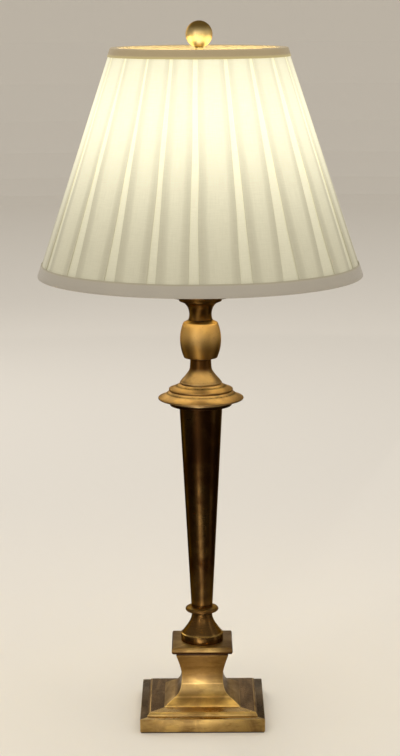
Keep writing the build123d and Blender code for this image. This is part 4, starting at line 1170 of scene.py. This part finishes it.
class LAMP_OT_shade_tapes(Step, bpy.types.Operator):
    """Folds woven tape over both edges of the shade"""

    def build(self):
        # The top tape's golden tint is painted light from the bulb; the bottom tape's tint is its own colour
        tapes = (
            ("bottom_tape", "shade_bottom_trim", 1, 0.04, tone(182, 177, 168)),
            ("top_tape", "shade_top_trim", -1, 0.3, tone(176, 148, 88)),
        )
        for name, node, way, free_glow, tint in tapes:
            low, high, _ = seat(node)
            edge, free = (low, high) if way > 0 else (high, low)
            profile, material = self.profile(edge, free, way), tape_cloth(name, free_glow, tint)
            form = wrapped(TAPE_COLUMNS, len(profile) - 1, self.placer(profile, edge, free, way))
            thicken(piece(name, form, "shade", material, node, BRAIDED_ANGLE), TAPE_THICKNESS)

    def profile(self, edge, free, way):
        """Depth and height along the tape: up the outside, over the edge and into the shade."""
        half, corner = TAPE_THICKNESS / 2, 1.1 * MM
        outside = [(half, free + (edge - free) * share) for share in (0, 0.04, 0.3, 0.6)]
        near, middle, far = [edge + way * rise for rise in (half, half + 0.3 * (corner - half), corner)]
        first = arc((half, far), (half + 0.3 * corner, middle), (half + corner, near), 5)
        last = arc((TUCK_DEPTH - corner, near), (TUCK_DEPTH - 0.3 * corner, middle), (TUCK_DEPTH, far), 5)
        inside = [(TUCK_DEPTH, edge + way * TUCK_HEIGHT * share) for share in (0.5, 1.0)]
        return [*outside, *first, *last, *inside]

    def placer(self, profile, edge, free, way):
        """The function that puts the tape's points in place, with slight waves in its edges."""
        along = lengths(profile)

        def spot(column, row):
            depth, level = profile[row]
            angle = FULL_TURN * column / TAPE_COLUMNS
            heading = Vector((math.cos(angle), math.sin(angle), 0.0))
            wave = noise.noise(heading * 3.5 + Vector((0, 0, edge * 40))) * TAPE_WAVE
            ripple = noise.noise(heading * 14 + Vector((0, 0, edge * 90))) * TAPE_RIPPLE
            free_share = max(0.0, 1 - along[row] / (abs(free - edge)))
            level += way * (wave * free_share + abs(wave) * 0.3 * (1 - free_share))
            place = on_cone(angle, level, depth + abs(ripple))
            return place, (angle * cone_radius(edge, 0.0), along[row]), 1.0

        return spot


class LAMP_OT_shade_frame(Step, bpy.types.Operator):
    """Finishes the wire rings, the struts and the spider inside the shade"""

    def build(self):
        enamel = moulded("white_enamel", tone(232, 229, 220), 0.35, 300.0, 0.02 * MM, mottle=0.2)
        for node in ("shade_top_ring", "shade_bottom_ring", "shade_struts"):
            finish_node(node, enamel)
        finish_node("shade_spider", drawn_metal("spider_brass", tone(206, 166, 92), 0.25, (0.2, 0.2, 1.0)))


class LAMP_OT_bulb(Step, bpy.types.Operator):
    """Blows the bulb's glass and finishes its cap"""

    def build(self):
        low, high, reach = seat("bulb_glass")
        wall, neck, belly = 0.8 * MM, 12 * MM, high - reach
        crown = (reach * math.cos(0.8), belly + reach * math.sin(0.8))
        outline = [
            *course((neck, low), (reach, belly), BULB_SHARES), *arc((reach, belly), crown, (0, high), 16)[1:],
        ]
        inner = [(max(0.0, r - wall), z - (wall if r < neck else 0.0)) for r, z in outline]
        inner[-1] = (0.0, high - wall)
        form, material = spun([*outline, *reversed(inner)], 0.0, 72), bulb_glass("bulb_glass")
        glass = piece("bulb_envelope", form, "bulb", material, "bulb_glass")
        glass.visible_shadow = False
        nickel = drawn_metal("bulb_cap", tone(196, 196, 198), 0.3, (0.2, 0.2, 1.0), tone(120, 118, 112))
        finish_node("bulb_cap", nickel)
        finish_node("bulb_contact", moulded("bulb_foot", tone(34, 34, 38), 0.3))
        self.light(belly)

    def light(self, level):
        bulb = settings("lamp_bulb")
        light = bpy.data.lights.new("bulb_light", "POINT")
        light.energy, light.color, light.shadow_soft_size = bulb.power, bulb.colour, 25 * MM
        lamp = placed("bulb_light", light)
        lamp.location = (0, 0, level)
        lamp.visible_camera = False


class LAMP_OT_fittings(Step, bpy.types.Operator):
    """Finishes the harp, the socket, the switch and the hardware inside the stem"""

    def build(self):
        drawn = drawn_metal("fitting_brass", tone(212, 172, 98), 0.22, (1.0, 1.0, 0.05))
        rolled = drawn_metal("rolled_brass", tone(206, 164, 90), 0.24, (0.05, 0.05, 1.0))
        zinc = drawn_metal("zinc_steel", tone(172, 170, 164), 0.35, (1.0, 1.0, 0.2), tone(110, 108, 102))
        black = moulded("black_plastic", tone(24, 23, 22), 0.32, 500.0)
        fibre = moulded("fibre_board", tone(132, 104, 70), 0.8, 700.0, 0.05 * MM, mottle=0.5)
        finishes = {
            drawn: ("harp_bow", "harp_swivel", "harp_saddle"),
            rolled: ("socket_cap", "socket_shell", "screw_shell", "centre_contact", "harp_sleeve_left",
                     "harp_sleeve_right"),
            zinc: ("base_washer", "base_lock_washer", "base_nut", "lamp_pipe", "saddle_nut", "set_screw",
                   "terminal_screws"),
            black: ("switch_stem", "switch_knob", "socket_interior"),
            moulded("bushing_plastic", tone(38, 34, 32), 0.5): ("cord_bushing",),
            fibre: ("insulating_sleeve",),
            moulded("cast_iron", tone(52, 51, 50), 0.6, 380.0, 0.25 * MM, mottle=0.5): ("base_weight",),
            moulded("wool_felt", tone(70, 58, 42), 0.95, 1100.0, 0.2 * MM, 0.5, 0.6): ("base_felt",),
        }
        for material, names in finishes.items():
            for node in names:
                finish_node(node, material)


STEPS = (
    "stage", "square_foot", "turned_stem", "finial", "shade_tapes", "shade_cover", "shade_lining",
    "shade_frame", "bulb", "fittings",
)


class LAMP_PT_panel(bpy.types.Panel):
    """Lists the lamp's settings and its steps"""

    bl_idname = "LAMP_PT_panel"
    bl_label = "Candlestick lamp"
    bl_space_type = "VIEW_3D"
    bl_region_type = "UI"
    bl_category = "Lamp"

    def draw(self, context):
        for group in GROUPS:
            owner = settings(group)
            for name in owner.bl_rna.properties.keys():
                if name not in ("rna_type", "name"):
                    self.layout.prop(owner, name)
        for step in STEPS:
            self.layout.operator("lamp." + step)


GROUPS = {
    "lamp_shade": LampShadeSettings,
    "lamp_brass": LampBrassSettings,
    "lamp_bulb": LampBulbSettings,
    "lamp_stage": LampStageSettings,
}
CLASSES = (*GROUPS.values(), *Step.__subclasses__(), LAMP_PT_panel)


def register():
    for made in CLASSES:
        bpy.utils.register_class(made)
    for name, group in GROUPS.items():
        setattr(bpy.types.Scene, name, bpy.props.PointerProperty(type=group))


def unregister():
    for name in GROUPS:
        delattr(bpy.types.Scene, name)
    for made in reversed(CLASSES):
        bpy.utils.unregister_class(made)


def main():
    register()
    for step in STEPS:
        getattr(bpy.ops.lamp, step)()


if __name__ == "__main__":
    main()
